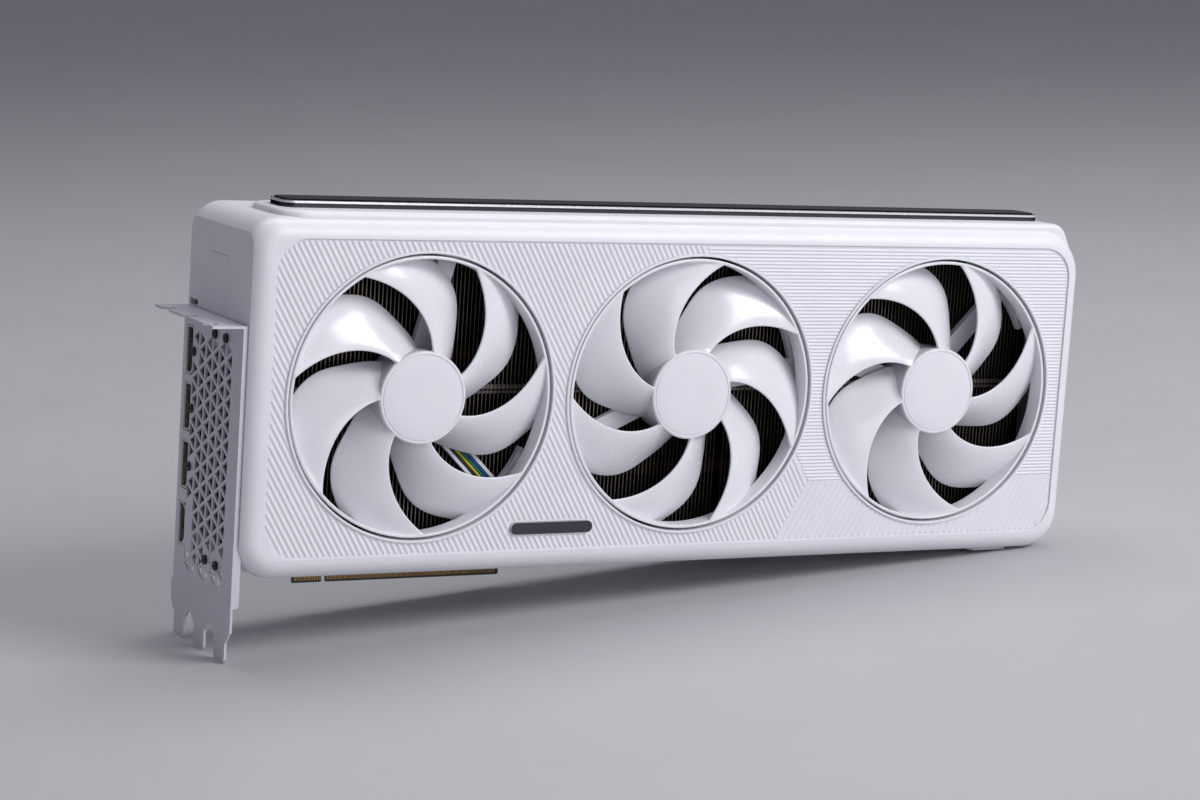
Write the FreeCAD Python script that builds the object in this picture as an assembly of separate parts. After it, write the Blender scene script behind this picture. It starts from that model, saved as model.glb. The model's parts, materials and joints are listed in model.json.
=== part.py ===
"""Triple-fan graphics card, three slots thick, built as separate pieces.

Frame, in millimetres: X runs along the card from the outer face of the slot bracket, Y runs
through its thickness from the component face of the circuit board (the fans face -Y), and Z
runs up from the bottom of the edge contacts. Each piece is written to parts/NAME.step.
"""
import FreeCAD, Part
import math
import os

V = FreeCAD.Vector

# ---- slot bracket ----
SLOT_PITCH = 20.32
SLOT_COUNT = 3
SHEET = 0.9
BRACKET_TOP = 103.86
TONGUE_TIP = -16.16
TONGUE_WIDTH = 10.19
FIRST_TONGUE_Y = -4.31
BRACKET_NEAR_Y = -54.16
BRACKET_FAR_Y = 4.9
BRACKET_FAR_UPPER_Y = 3.5
SHOULDER_Z = 3.0
TAPER_TOP_Z = -4.0
TAPER_END_Z = -8.7
NOTCH_APEX_Z = -4.75
NOTCH_FLAT = 1.6
TOP_FLANGE_DEPTH = 11.43
SCREW_NOTCH_R = 2.2
SCREW_NOTCH_SHIFT = 3.2
SIDE_FLANGE_DEPTH = 3.0
SIDE_FLANGE_BOTTOM = 4.5
VENT_SIDE = 7.5
VENT_RIB = 1.2
VENT_FIRST_Y = -6.0
VENT_COLUMNS = 6
VENT_FIRST_Z = 7.5
VENT_TOP_Z = 97.5
BRACKET_SCREW_Y = (-28.0, -38.6)
BRACKET_SCREW_Z = (16.7, 97.5)
BRACKET_BOSS_REACH = (12.5, 6.5)

# ---- display sockets ----
DP_Z = (88.3, 67.7, 46.6)
DP_SIZE = (18.0, 5.8, 17.2)
HDMI_Z = 24.9
HDMI_SIZE = (14.0, 5.6, 15.4)
PORT_WALL = 0.45
PORT_CLEARANCE = 0.3
PORT_SCREW_Y = -7.7

# ---- circuit board ----
BOARD_THICK = 1.6
BOARD_LEFT = 5.0
BOARD_RIGHT = 250.0
BOARD_BOTTOM = 8.25
BOARD_TOP_ROOM = 7.7
TAB_LEFT = 45.5
TAB_LENGTH = 84.7
TAB_CHAMFER = 0.6
KEY_X = 58.0
KEY_WIDTH = 1.9
CONTACT_PITCH = 1.0
CONTACT_WIDTH = 0.7
CONTACT_HEIGHT = 5.2
CONTACT_THICK = 0.08

# ---- chip and board parts ----
CHIP_X = 126.0
CHIP_Z = 76.0
SUBSTRATE = 42.0
SUBSTRATE_THICK = 1.6
DIE_X = 24.0
DIE_Z = 20.0
DIE_THICK = 0.8
MEMORY_X = 12.0
MEMORY_Z = 14.0
MEMORY_THICK = 1.2
CHOKE = 7.5
CHOKE_HEIGHT = 4.2
STAGE = 5.0
STAGE_HEIGHT = 1.0
CAPACITOR_R = 2.9
CAPACITOR_HEIGHT = 4.3

# ---- cooler ----
PLATE_THICK = 2.6
PLATE_X = 84.0
PLATE_Z = 76.0
FIN_PITCH = 1.6
FIN_THICK = 0.35
FIN_FRONT = -40.3
FIN_BOTTOM = 24.0
FIN_TOP_ROOM = 5.7
FIN_SPINE = 0.5
MAIN_STACK = (11.0, 199.8)
END_STACK_LEFT = 202.2
END_STACK_ROOM = 12.5
PIPE_R = 3.0
PIPE_FIT = 0.04
PIPE_PITCH = 12.0
PIPE_COUNT = 6
PIPE_RISE = 14.0
PIPE_BEND_X = 178.0
PIPE_LEFT = 22.0
PIPE_END_ROOM = 18.5
FRAME_PLATE = 1.0
FRAME_MARGIN = 9.0
POST_SCREW_TIP = -3.5
SOCKET_ROOM = 0.5

# ---- shroud ----
SHROUD_LEFT = 1.7
SHROUD_RIGHT = 351.6
SHROUD_FRONT = -58.0
REAR_ROOM = 2.7
SHROUD_BOTTOM = 14.4
SHROUD_TOP = 141.7
WALL = 2.2
CORNER_TOP_RIGHT = 18.5
CORNER_BOTTOM_RIGHT = 15.0
CORNER_BOTTOM_LEFT = 15.0
CORNER_TOP_LEFT = 11.5
END_FLAT = 1.6
EDGE_FRONT = 7.5
EDGE_REAR = 5.5
PLATEAU_LEFT = 13.0
PLATEAU_END_ROOM = 7.9
PLATEAU_FOOT_ROOM = (2.2, 9.7)
PLATEAU_FRONT = -53.0
PLATEAU_RISE = 2.2
PLATEAU_CORNER = 10.0
PLATEAU_BEVEL = 2.0
PLATEAU_CREST_R = 7.0
PARTING_Y = -14.2
STEP_Y = -32.3
STEP_TOP_ROOM = 16.3
STEP_LOW_Z = BRACKET_TOP - 2.2
STEP_DEPTH = 9.0
POCKET_ROOM = 0.25
PARTING_GAP = 0.25
PANEL_LEFT = 9.5
PANEL_END_ROOM = 6.8
PANEL_BOTTOM = 22.0
PANEL_TOP_ROOM = 6.8
PANEL_CORNER = 12.0
PANEL_RECESS = 0.8
LAND = 0.9
SLAT_PITCH = 8.0
SLAT_GAP = 4.6
VENT_LEFT = 262.0
VENT_END_ROOM = 14.5
VENT_BOTTOM = 30.0
VENT_TOP_ROOM = 15.7

# ---- top strip, badge and foot ----
STRIP_LEFT = 17.5
STRIP_END_ROOM = 11.5
STRIP_FRONT = -42.0
STRIP_REAR = -25.0
STRIP_HEIGHT = 2.9
STRIP_CORNER = 5.0
BEZEL_WALL = 1.0
BEZEL_DROP = 0.5
BADGE = (105.1, 138.5, 28.1, 32.6)
BADGE_RAISE = 0.35
FOOT_LENGTH = 18.0
FOOT_END_ROOM = 20.1
FOOT_WIDTH = 9.0
FOOT_HEIGHT = 1.1

# ---- fans ----
FAN_FIRST_X = 67.5
FAN_PITCH = 109.6
FAN_Z = 78.7
OPENING_R = 51.45
OPENING_COLLAR = 1.2
COLLAR_BACK = -50.5
RING_GAP = 0.9
RING_WALL = 1.2
RING_FRONT = -57.4
RING_DEPTH = 6.9
BLADE_COUNT = 7
BLADE_FRONT = -56.7
BLADE_BACK = -46.6
BLADE_THICK = 1.3
BLADE_EDGE_THICK = 0.6
BLADE_CAMBER = 1.4
# Blade edges in degrees: the leading one sweeps on from hub to ring, the trailing one bows.
LEAD_SWEEP = 40.0
LEAD_CURVE = 1.15
TRAIL_ROOT = -45.0
TRAIL_TIP = 6.0
TRAIL_BOW = 3.0
HUB_R = 16.8
HUB_WALL = 1.3
CAP_THICK = 1.3
CAP_EDGE = 0.7
HUB_FRONT = -57.8
HUB_BACK = -45.2
MAGNET_THICK = 1.6
SHAFT_R = 1.5
SHAFT_CLEARANCE = 0.03
BEARING_WALL = 1.5
SLEEVE_WALL = 1.3
AIR_GAP = 1.3
STATOR_POLES = 6
FAN_FRAME_FRONT = -44.5
FAN_FRAME_THICK = 2.7
MOTOR_PLATE_SHY = 0.4
STRUT_WIDTH = 7.0
FOOT_LAP = 0.85
FOOT_REACH = 2.75
FOOT_HALF_ANGLE = 21.0
BOSS_R = 1.7
BOSS_REACH = 1.85
BOSS_ANGLE = 15.0
FAN_SCREW_R = 0.8
RIBBON_WIDTH = 4.4
RIBBON_THICK = 1.1
RIBBON_GAP = 0.2
LEAD_R = 1.2
SOCKET_Z = 19.4

# name, index along the card, sweep direction, blade phase, strut angles (the first holds the lead)
FANS = (
    ("left", 0, 1, 28.6, (-45.0, 75.0, 195.0)),
    ("middle", 1, -1, 10.7, (205.0, 110.0, 9.0)),
    ("right", 2, 1, 42.2, (265.0, 47.0, 165.0)),
)
# Fans whose lead lies in the rear face of its strut, out of sight.
REAR_LEADS = (1, 2)
FAN_SOCKET_X = (121.0, 133.0, 243.0)

# Route of each lead, chosen by hand, from the end of its strut to its socket on the board.
LEAD_ROUTES = (
    ((112.0, -44.2, 34.5), (120.6, -45.8, 18.6), (121.8, -25.0, 18.8), (121.0, -1.1, 19.4)),
    ((118.0, -42.9, 51.1), (121.0, -43.6, 35.0), (131.0, -45.0, 18.6), (132.6, -25.0, 18.8),
     (133.0, -1.1, 19.4)),
    ((281.3, -43.0, 19.0), (270.0, -33.0, 18.6), (252.0, -19.0, 18.9), (243.4, -9.0, 19.2),
     (243.0, -1.1, 19.4)),
)

# ---- power socket ----
POWER_X = 214.0
POWER_LENGTH = 20.0
POWER_DEPTH = 10.4
POWER_HEIGHT = 15.0
POWER_WALL = 1.1
POWER_RIM = 1.0
CELL_WALL = 0.4

# ---- values that follow ----
SHROUD_REAR = BOARD_THICK + REAR_ROOM + WALL
BOARD_TOP = SHROUD_TOP - BOARD_TOP_ROOM
FIN_TOP = SHROUD_TOP - FIN_TOP_ROOM
STEP_Z = SHROUD_TOP - STEP_TOP_ROOM
PANEL_TOP = SHROUD_TOP - PANEL_TOP_ROOM
END_STACK = (END_STACK_LEFT, SHROUD_RIGHT - END_STACK_ROOM)
PIPE_ENDS = (PIPE_LEFT, SHROUD_RIGHT - PIPE_END_ROOM)
PLATEAU_RIGHT = SHROUD_RIGHT - PLATEAU_END_ROOM
PLATEAU_FOOT = (SHROUD_RIGHT - PLATEAU_FOOT_ROOM[0], SHROUD_TOP - PLATEAU_FOOT_ROOM[1])
PANEL_RIGHT = SHROUD_RIGHT - PANEL_END_ROOM
VENT_WINDOW = (VENT_LEFT, SHROUD_RIGHT - VENT_END_ROOM, VENT_BOTTOM, SHROUD_TOP - VENT_TOP_ROOM)
STRIP_RIGHT = SHROUD_RIGHT - STRIP_END_ROOM
FOOT = (SHROUD_RIGHT - FOOT_END_ROOM - FOOT_LENGTH, SHROUD_RIGHT - FOOT_END_ROOM)
STATOR_R = HUB_R - HUB_WALL - MAGNET_THICK - AIR_GAP
MOTOR_PLATE_R = HUB_R - MOTOR_PLATE_SHY
FOOT_INNER_R = OPENING_R - FOOT_LAP
FOOT_OUTER_R = OPENING_R + FOOT_REACH
BOSS_CIRCLE_R = OPENING_R + BOSS_REACH
FIN_BACK = -(SUBSTRATE_THICK + DIE_THICK + PLATE_THICK)
PIPE_Y = FIN_BACK - PIPE_R
PIPE_FIRST_Z = CHIP_Z - PIPE_PITCH * (PIPE_COUNT - 1) / 2
RING_OUTER = OPENING_R - RING_GAP
RING_INNER = RING_OUTER - RING_WALL
RING_BACK = RING_FRONT + RING_DEPTH
CAP_BACK = HUB_FRONT + CAP_THICK
FAN_FRAME_BACK = FAN_FRAME_FRONT + FAN_FRAME_THICK
BEARING_R = SHAFT_R + SHAFT_CLEARANCE + BEARING_WALL
SLEEVE_R = BEARING_R + SLEEVE_WALL
PLATEAU_TOP = SHROUD_TOP + PLATEAU_RISE
INNER_FRONT = SHROUD_FRONT + WALL
INNER_REAR = SHROUD_REAR - WALL
BADGE_BACK = SHROUD_FRONT + PANEL_RECESS + 0.6


# ---------------------------------------------------------------- shape helpers
def box(x0, x1, y0, y1, z0, z1):
    return Part.makeBox(x1 - x0, y1 - y0, z1 - z0, V(x0, y0, z0))


def rod(start, end, radius):
    axis = V(*end) - V(*start)
    return Part.makeCylinder(radius, axis.Length, V(*start), axis)


def tube(start, end, outer, inner):
    return rod(start, end, outer).cut(rod(start, end, inner))


def disc(x, z, radius, y0, y1):
    """Round plate facing along Y."""
    return rod((x, y0, z), (x, y1, z), radius)


def ring(x, z, outer, inner, y0, y1):
    return tube((x, y0, z), (x, y1, z), outer, inner)


def edges_along(shape, direction):
    """Straight edges of a shape that run along one direction."""
    found = []
    for edge in shape.Edges:
        if isinstance(edge.Curve, Part.Line) and abs(abs(edge.Curve.Direction.dot(direction)) - 1) < 1e-6:
            found.append(edge)
    return found


def edges_at_y(shape, y):
    """Edges of a shape that lie in one plane across Y."""
    return [e for e in shape.Edges if abs(e.BoundBox.YMin - y) < 0.01 and abs(e.BoundBox.YMax - y) < 0.01]


def edges_at_z(shape, z):
    """Edges of a shape that lie in one level plane."""
    return [e for e in shape.Edges if abs(e.BoundBox.ZMin - z) < 0.01 and abs(e.BoundBox.ZMax - z) < 0.01]


def slab_xz(x0, x1, z0, z1, y0, y1, radius):
    """Plate with rounded corners that faces along Y."""
    plate = box(x0, x1, y0, y1, z0, z1)
    return plate.makeFillet(radius, edges_along(plate, V(0, 1, 0)))


def slab_xy(x0, x1, y0, y1, z0, z1, radius):
    """Plate with rounded corners that faces along Z."""
    plate = box(x0, x1, y0, y1, z0, z1)
    return plate.makeFillet(radius, edges_along(plate, V(0, 0, 1)))


def prism(points, direction):
    """Solid of one closed polygon moved along a direction."""
    corners = [V(*point) for point in points]
    return Part.Face(Part.makePolygon(corners + corners[:1])).extrude(direction)


def fuse(shapes):
    return shapes[0].multiFuse(shapes[1:]).removeSplitter()


def cut(shape, tools):
    return shape.cut(Part.makeCompound(tools))


def screw(head, tip, head_r, head_height, shank_r):
    """Round-headed screw with a cross slot; head is the centre of the head's outer face."""
    axis = (V(*tip) - V(*head)).normalize()
    seat = V(*head) + axis * head_height
    body = fuse([rod(head, tuple(seat), head_r), rod(tuple(seat), tip, shank_r)])
    slot_depth = head_height * 0.5
    side = axis.cross(V(0.3, 0.5, 0.8)).normalize()
    slots = []
    for arm in (side, side.cross(axis)):
        across = arm.cross(axis) * (head_r * 0.14)
        reach = arm * (head_r * 0.6)
        start = V(*head) - axis * 0.1
        corners = [start - reach - across, start + reach - across, start + reach + across,
                   start - reach + across]
        slots.append(prism([tuple(c) for c in corners], axis * (slot_depth + 0.1)))
    return cut(body, slots)


def fan_x(index):
    return FAN_FIRST_X + index * FAN_PITCH


def polar(index, radius, degrees):
    """X and Z of a point around one fan's axis."""
    angle = math.radians(degrees)
    return fan_x(index) + radius * math.cos(angle), FAN_Z + radius * math.sin(angle)


def routed_wire(points, share=0.45):
    """Straight runs joined by tangent arcs, each as large as its two runs allow."""
    points = [V(*point) for point in points]
    edges = []
    start = points[0]
    for before, corner, after in zip(points, points[1:], points[2:]):
        into = (corner - before).normalize()
        out = (after - corner).normalize()
        turn = into.getAngle(out)
        back = share * min((corner - before).Length, (after - corner).Length)
        enter = corner - into * back
        leave = corner + out * back
        radius = back / math.tan(turn / 2)
        middle = corner + (out - into).normalize() * (radius / math.cos(turn / 2) - radius)
        edges.append(Part.makeLine(start, enter))
        edges.append(Part.Arc(enter, middle, leave).toShape())
        start = leave
    edges.append(Part.makeLine(start, points[-1]))
    return Part.Wire(edges)


def swept_tube(points, radius, share=0.45):
    wire = routed_wire(points, share)
    first = wire.Edges[0]
    circle = Part.makeCircle(radius, first.firstVertex().Point, first.tangentAt(first.FirstParameter))
    profile = Part.Wire(circle)
    return wire.makePipeShell([profile], True, False)


# ---------------------------------------------------------------- slot bracket
def bracket_outline():
    """Corners of the flat sheet in Y and Z, from the far top corner round the tongues."""
    half = TONGUE_WIDTH / 2
    outline = [(BRACKET_FAR_UPPER_Y, BRACKET_TOP), (BRACKET_FAR_UPPER_Y, SHOULDER_Z + 1)]
    outline += [(BRACKET_FAR_Y, SHOULDER_Z), (BRACKET_FAR_Y, TAPER_TOP_Z)]
    for slot in range(SLOT_COUNT):
        centre = FIRST_TONGUE_Y - slot * SLOT_PITCH
        outline += [(centre + half, TAPER_END_Z), (centre + half, TONGUE_TIP)]
        outline += [(centre - half, TONGUE_TIP), (centre - half, TAPER_END_Z)]
        if slot < SLOT_COUNT - 1:
            apex = centre - SLOT_PITCH / 2
            outline += [(apex + NOTCH_FLAT / 2, NOTCH_APEX_Z), (apex - NOTCH_FLAT / 2, NOTCH_APEX_Z)]
    outline += [(BRACKET_NEAR_Y, TAPER_TOP_Z), (BRACKET_NEAR_Y, BRACKET_TOP)]
    return outline


def bracket_screw_places():
    return [(y, z) for y in BRACKET_SCREW_Y for z in BRACKET_SCREW_Z]


def vent_hole_is_kept(y, z, column):
    """Holes stay clear of the screws and of the solid land beside the lowest socket."""
    if not VENT_FIRST_Z < z < VENT_TOP_Z:
        return False
    if any(math.hypot(y - sy, z - sz) < 3.7 for sy, sz in bracket_screw_places()):
        return False
    if any(math.hypot(y - PORT_SCREW_Y, z - dz) < 3.4 for dz in DP_Z):
        return False
    return not (column == 0 and abs(z - HDMI_Z) < HDMI_SIZE[2] / 2 + 2)


def vent_triangles():
    """Triangular holes between the ribs of an even triangular lattice."""
    width = VENT_SIDE * math.sqrt(3) / 2
    shrink = 1 - VENT_RIB * math.sqrt(3) / VENT_SIDE
    rows = int((VENT_TOP_Z - VENT_FIRST_Z) / VENT_SIDE) + 1
    holes = []
    for column in range(VENT_COLUMNS):
        for step in range(2 * rows):
            base_is_far = (column + step) % 2 == 1
            far_y = VENT_FIRST_Y - column * width
            near_y = far_y - width
            base_y, apex_y = (far_y, near_y) if base_is_far else (near_y, far_y)
            z = VENT_FIRST_Z + VENT_SIDE * (step + 1) / 2
            centre_y = (2 * base_y + apex_y) / 3
            if not vent_hole_is_kept(centre_y, z, column):
                continue
            corners = [(base_y, z - VENT_SIDE / 2), (base_y, z + VENT_SIDE / 2), (apex_y, z)]
            inner = [(centre_y + (y - centre_y) * shrink, z + (cz - z) * shrink) for y, cz in corners]
            holes.append(prism([(-1, y, cz) for y, cz in inner], V(SHEET + 2, 0, 0)))
    return holes


def port_window(z, size):
    c = PORT_CLEARANCE
    return box(-1, SHEET + 1, -size[1] - c, c, z - size[2] / 2 - c, z + size[2] / 2 + c)


def top_flange():
    """Flange that the case screws hold, with one notch for each slot."""
    flange = box(-TOP_FLANGE_DEPTH, SHEET, BRACKET_NEAR_Y, BRACKET_FAR_UPPER_Y, BRACKET_TOP - SHEET,
                 BRACKET_TOP)
    notches = []
    for slot in range(SLOT_COUNT):
        y = FIRST_TONGUE_Y - slot * SLOT_PITCH - SCREW_NOTCH_SHIFT
        x = -TOP_FLANGE_DEPTH + SCREW_NOTCH_R
        notches.append(rod((x, y, BRACKET_TOP - 5), (x, y, BRACKET_TOP + 5), SCREW_NOTCH_R))
        mouth = [(x, y - SCREW_NOTCH_R), (x, y + SCREW_NOTCH_R), (x - 6, y + 2.4 * SCREW_NOTCH_R),
                 (x - 6, y - 2.4 * SCREW_NOTCH_R)]
        notches.append(prism([(mx, my, BRACKET_TOP - 5) for mx, my in mouth], V(0, 0, 10)))
    return cut(flange, notches)


def io_bracket():
    sheet = prism([(0, y, z) for y, z in bracket_outline()], V(SHEET, 0, 0))
    tips = [e for e in edges_along(sheet, V(1, 0, 0)) if abs(e.CenterOfMass.z - TONGUE_TIP) < 0.01]
    sheet = sheet.makeFillet(TONGUE_WIDTH * 0.2, tips)
    side = box(0, SIDE_FLANGE_DEPTH, BRACKET_NEAR_Y, BRACKET_NEAR_Y + SHEET, SIDE_FLANGE_BOTTOM, BRACKET_TOP)
    corner = [e for e in edges_along(side, V(0, 1, 0))
              if e.CenterOfMass.x > SHEET and e.CenterOfMass.z < SHOULDER_Z + 3]
    side = side.makeFillet(SIDE_FLANGE_DEPTH * 0.5, corner)
    body = fuse([sheet, top_flange(), side])
    holes = vent_triangles() + [port_window(z, DP_SIZE) for z in DP_Z] + [port_window(HDMI_Z, HDMI_SIZE)]
    holes += [rod((-1, y, z), (SHEET + 1, y, z), 1.25) for y, z in bracket_screw_places()]
    holes += [rod((-1, PORT_SCREW_Y, z), (SHEET + 1, PORT_SCREW_Y, z), 0.95) for z in DP_Z]
    return cut(body, holes)


def bracket_screws():
    """Four screws that hold the bracket to the shroud's end wall."""
    return [screw((-0.9, y, z), (SHROUD_LEFT + 5.0, y, z), 1.7, 0.9, 1.2) for y, z in bracket_screw_places()]


# ---------------------------------------------------------------- display sockets
def displayport(z):
    """Open metal shell with one bevelled corner, an inner tongue and an ear for its screw."""
    depth, height, width = DP_SIZE
    shell = box(0.2, depth, -height, 0, z - width / 2, z + width / 2)
    bevel = [e for e in edges_along(shell, V(1, 0, 0)) if e.CenterOfMass.y < -1 and e.CenterOfMass.z < z]
    shell = shell.makeChamfer(1.6, bevel)
    half = width / 2 - PORT_WALL
    mouth = box(-1, depth * 0.45, -height + PORT_WALL, -PORT_WALL, z - half, z + half)
    bevel = [e for e in edges_along(mouth, V(1, 0, 0)) if e.CenterOfMass.y < -1 and e.CenterOfMass.z < z]
    mouth = mouth.makeChamfer(1.5, bevel)
    tongue = box(2.0, depth * 0.5, -height * 0.55, -height * 0.34, z - width * 0.36, z + width * 0.36)
    ear = box(SHEET + 0.1, SHEET + 4.5, PORT_SCREW_Y - 1.8, -height + PORT_WALL, z - 2.2, z + 2.2)
    hole = rod((SHEET - 1, PORT_SCREW_Y, z), (SHEET + 6, PORT_SCREW_Y, z), 0.8)
    return fuse([shell.cut(mouth), tongue, ear]).cut(hole)


def hdmi_port():
    """Open metal shell that narrows towards the fan side, with an inner tongue."""
    depth, height, width = HDMI_SIZE

    def outline(inset):
        half = width / 2 - inset
        low, high = -inset, -height + inset
        return [(low, -half), (low, half), (high * 0.55, half), (high, half - 1.8), (high, -half + 1.8),
                (high * 0.55, -half)]

    shell = prism([(0.2, y, HDMI_Z + z) for y, z in outline(0)], V(depth, 0, 0))
    mouth = prism([(-1, y, HDMI_Z + z) for y, z in outline(PORT_WALL)], V(depth * 0.55, 0, 0))
    reach = width * 0.34
    tongue = box(2.0, depth * 0.6, -height * 0.56, -height * 0.36, HDMI_Z - reach, HDMI_Z + reach)
    return fuse([shell.cut(mouth), tongue])


def port_screws():
    return [screw((-0.8, PORT_SCREW_Y, z), (SHEET + 4.0, PORT_SCREW_Y, z), 1.7, 0.8, 0.78) for z in DP_Z]


# ---------------------------------------------------------------- circuit board
def board_screw_places():
    """Places of the screws that hold the rear cover through the board to the mounting frame."""
    reach_x = PLATE_X / 2 + FRAME_MARGIN / 2
    reach_z = PLATE_Z / 2 + FRAME_MARGIN / 2
    return [(CHIP_X + sx * reach_x, CHIP_Z + sz * reach_z) for sx in (-1, 1) for sz in (-1, 1)]


def circuit_board():
    board = box(BOARD_LEFT, BOARD_RIGHT, 0, BOARD_THICK, BOARD_BOTTOM, BOARD_TOP)
    tab = box(TAB_LEFT, TAB_LEFT + TAB_LENGTH, 0, BOARD_THICK, 0, BOARD_BOTTOM + 0.1)
    tab = tab.makeChamfer(TAB_CHAMFER, [e for e in edges_along(tab, V(1, 0, 0)) if e.CenterOfMass.z < 0.01])
    body = fuse([board, tab])
    holes = [box(KEY_X - KEY_WIDTH / 2, KEY_X + KEY_WIDTH / 2, -1, BOARD_THICK + 1, -1, BOARD_BOTTOM)]
    holes += [disc(x, z, 1.6, -1, BOARD_THICK + 1) for x, z in cover_screw_places() + retention_places()]
    return cut(body, holes)


def edge_contacts():
    """Gold pads on both faces of the tab, clear of the key slot."""
    pads = []
    first = TAB_LEFT + CONTACT_PITCH
    for number in range(int((TAB_LENGTH - CONTACT_PITCH) / CONTACT_PITCH)):
        x = first + number * CONTACT_PITCH
        if abs(x - KEY_X) < (KEY_WIDTH + CONTACT_WIDTH) / 2 + 0.2:
            continue
        low, high = TAB_CHAMFER + 0.3, TAB_CHAMFER + 0.3 + CONTACT_HEIGHT
        for y in (-CONTACT_THICK, BOARD_THICK):
            pads.append(box(x - CONTACT_WIDTH / 2, x + CONTACT_WIDTH / 2, y, y + CONTACT_THICK, low, high))
    return pads


def gpu_substrate():
    half = SUBSTRATE / 2
    return box(CHIP_X - half, CHIP_X + half, -SUBSTRATE_THICK, 0, CHIP_Z - half, CHIP_Z + half)


def gpu_die():
    back, half_x, half_z = -SUBSTRATE_THICK, DIE_X / 2, DIE_Z / 2
    return box(CHIP_X - half_x, CHIP_X + half_x, back - DIE_THICK, back, CHIP_Z - half_z, CHIP_Z + half_z)


def memory_places():
    """Chips in columns beside the processor and a row above it."""
    reach = SUBSTRATE / 2 + MEMORY_X / 2 + 1.5
    pitch = MEMORY_Z + 1.5
    places = [(CHIP_X + side * reach, CHIP_Z + row * pitch) for side in (-1, 1) for row in (-1, 0, 1)]
    top = CHIP_Z + SUBSTRATE / 2 + MEMORY_Z / 2 + 1.0
    return places + [(CHIP_X - MEMORY_X * 0.6, top), (CHIP_X + MEMORY_X * 0.6, top)]


def memory_blocks(near, far):
    """One block over each memory chip, between two heights above the board."""
    return [box(x - MEMORY_X / 2, x + MEMORY_X / 2, -far, -near, z - MEMORY_Z / 2, z + MEMORY_Z / 2)
            for x, z in memory_places()]


def power_rows():
    """X and Z of each voltage phase: one row to the left and two to the right of the chip."""
    columns = (CHIP_X - PLATE_X / 2 - FRAME_MARGIN - 22.0, CHIP_X + PLATE_X / 2 + FRAME_MARGIN + 8.0)
    return [(x, PIPE_FIRST_Z - 6.0 + row * (CHOKE + 2.2)) for x in columns for row in range(8)]


def power_chokes():
    half = CHOKE / 2
    blocks = []
    for x, z in power_rows():
        block = box(x - half, x + half, -CHOKE_HEIGHT, 0, z - half, z + half)
        blocks.append(block.makeChamfer(0.7, edges_along(block, V(0, 1, 0))))
    return blocks


def power_stages():
    shift = CHOKE / 2 + STAGE / 2 + 1.5
    return [box(x + shift - STAGE / 2, x + shift + STAGE / 2, -STAGE_HEIGHT, 0, z - STAGE / 2, z + STAGE / 2)
            for x, z in power_rows()]


def capacitors():
    shift = CHOKE / 2 + STAGE + CAPACITOR_R + 3.0
    return [disc(x + shift, z, CAPACITOR_R, -CAPACITOR_HEIGHT, 0) for x, z in power_rows()[::2]]


def fan_sockets():
    return [box(x - 3.6, x + 3.6, -3.4, 0, SOCKET_Z - 2.0, SOCKET_Z + 2.0).cut(
        box(x - 2.6, x + 2.6, -3.5, -1.0, SOCKET_Z - 1.3, SOCKET_Z + 1.3)) for x in FAN_SOCKET_X]


def power_socket():
    """Twelve-volt socket at the board's top edge that opens upwards through the cover."""
    front = 1.0 - POWER_DEPTH
    low = SHROUD_TOP - POWER_RIM - POWER_HEIGHT
    x0, x1 = POWER_X - POWER_LENGTH / 2, POWER_X + POWER_LENGTH / 2
    body = box(x0, x1, front, 0, low, SHROUD_TOP - POWER_RIM)
    cells = []
    cell_pitch = (POWER_LENGTH - 2 * POWER_WALL) / 6
    for column in range(6):
        left = x0 + POWER_WALL + column * cell_pitch + CELL_WALL / 2
        right = left + cell_pitch - CELL_WALL
        cells.append(box(left, right, front + POWER_WALL, -POWER_WALL, low + 3, SHROUD_TOP))
    return cut(body, cells)


# ---------------------------------------------------------------- cooler
def pipe_heights():
    return [PIPE_FIRST_Z + number * PIPE_PITCH for number in range(PIPE_COUNT)]


def low_pipe(z):
    return rod((PIPE_ENDS[0], PIPE_Y, z), (PIPE_ENDS[1], PIPE_Y, z), PIPE_R)


def high_pipe(z):
    """Pipe that lies on the cold plate and rises to the middle of the fins past it."""
    run = PIPE_RISE + 2.0
    points = [(PIPE_ENDS[0], PIPE_Y, z), (PIPE_BEND_X, PIPE_Y, z), (PIPE_BEND_X + run, PIPE_Y - PIPE_RISE, z),
              (PIPE_ENDS[1], PIPE_Y - PIPE_RISE, z)]
    return swept_tube(points, PIPE_R, 0.45)


def heat_pipes(parity):
    maker = high_pipe if parity else low_pipe
    return [maker(z) for z in pipe_heights()[parity::2]]


def pipe_channels():
    """Holes for the pipes through the fins, with an open slot where a pipe rises."""
    hole = PIPE_R + PIPE_FIT
    tools = []
    for number, z in enumerate(pipe_heights()):
        raised = number % 2 == 1
        if not raised:
            tools.append(rod((PIPE_ENDS[0] - 2, PIPE_Y, z), (PIPE_ENDS[1] + 2, PIPE_Y, z), hole))
            continue
        slot_left, slot_right = PIPE_BEND_X - 9, PIPE_BEND_X + PIPE_RISE + 11
        high_y = PIPE_Y - PIPE_RISE
        tools.append(rod((PIPE_ENDS[0] - 2, PIPE_Y, z), (slot_left + 1, PIPE_Y, z), hole))
        tools.append(box(slot_left, slot_right, high_y - hole, PIPE_Y + hole, z - hole, z + hole))
        tools.append(rod((slot_right - 1, high_y, z), (PIPE_ENDS[1] + 2, high_y, z), hole))
    return tools


def socket_room():
    """Clear space round the four display sockets."""
    room = []
    for z, (depth, height, width) in [(z, DP_SIZE) for z in DP_Z] + [(HDMI_Z, HDMI_SIZE)]:
        half = width / 2 + SOCKET_ROOM
        room.append(box(-1, depth + 2 * SOCKET_ROOM, -height - SOCKET_ROOM, BOARD_THICK, z - half, z + half))
    return room


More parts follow.
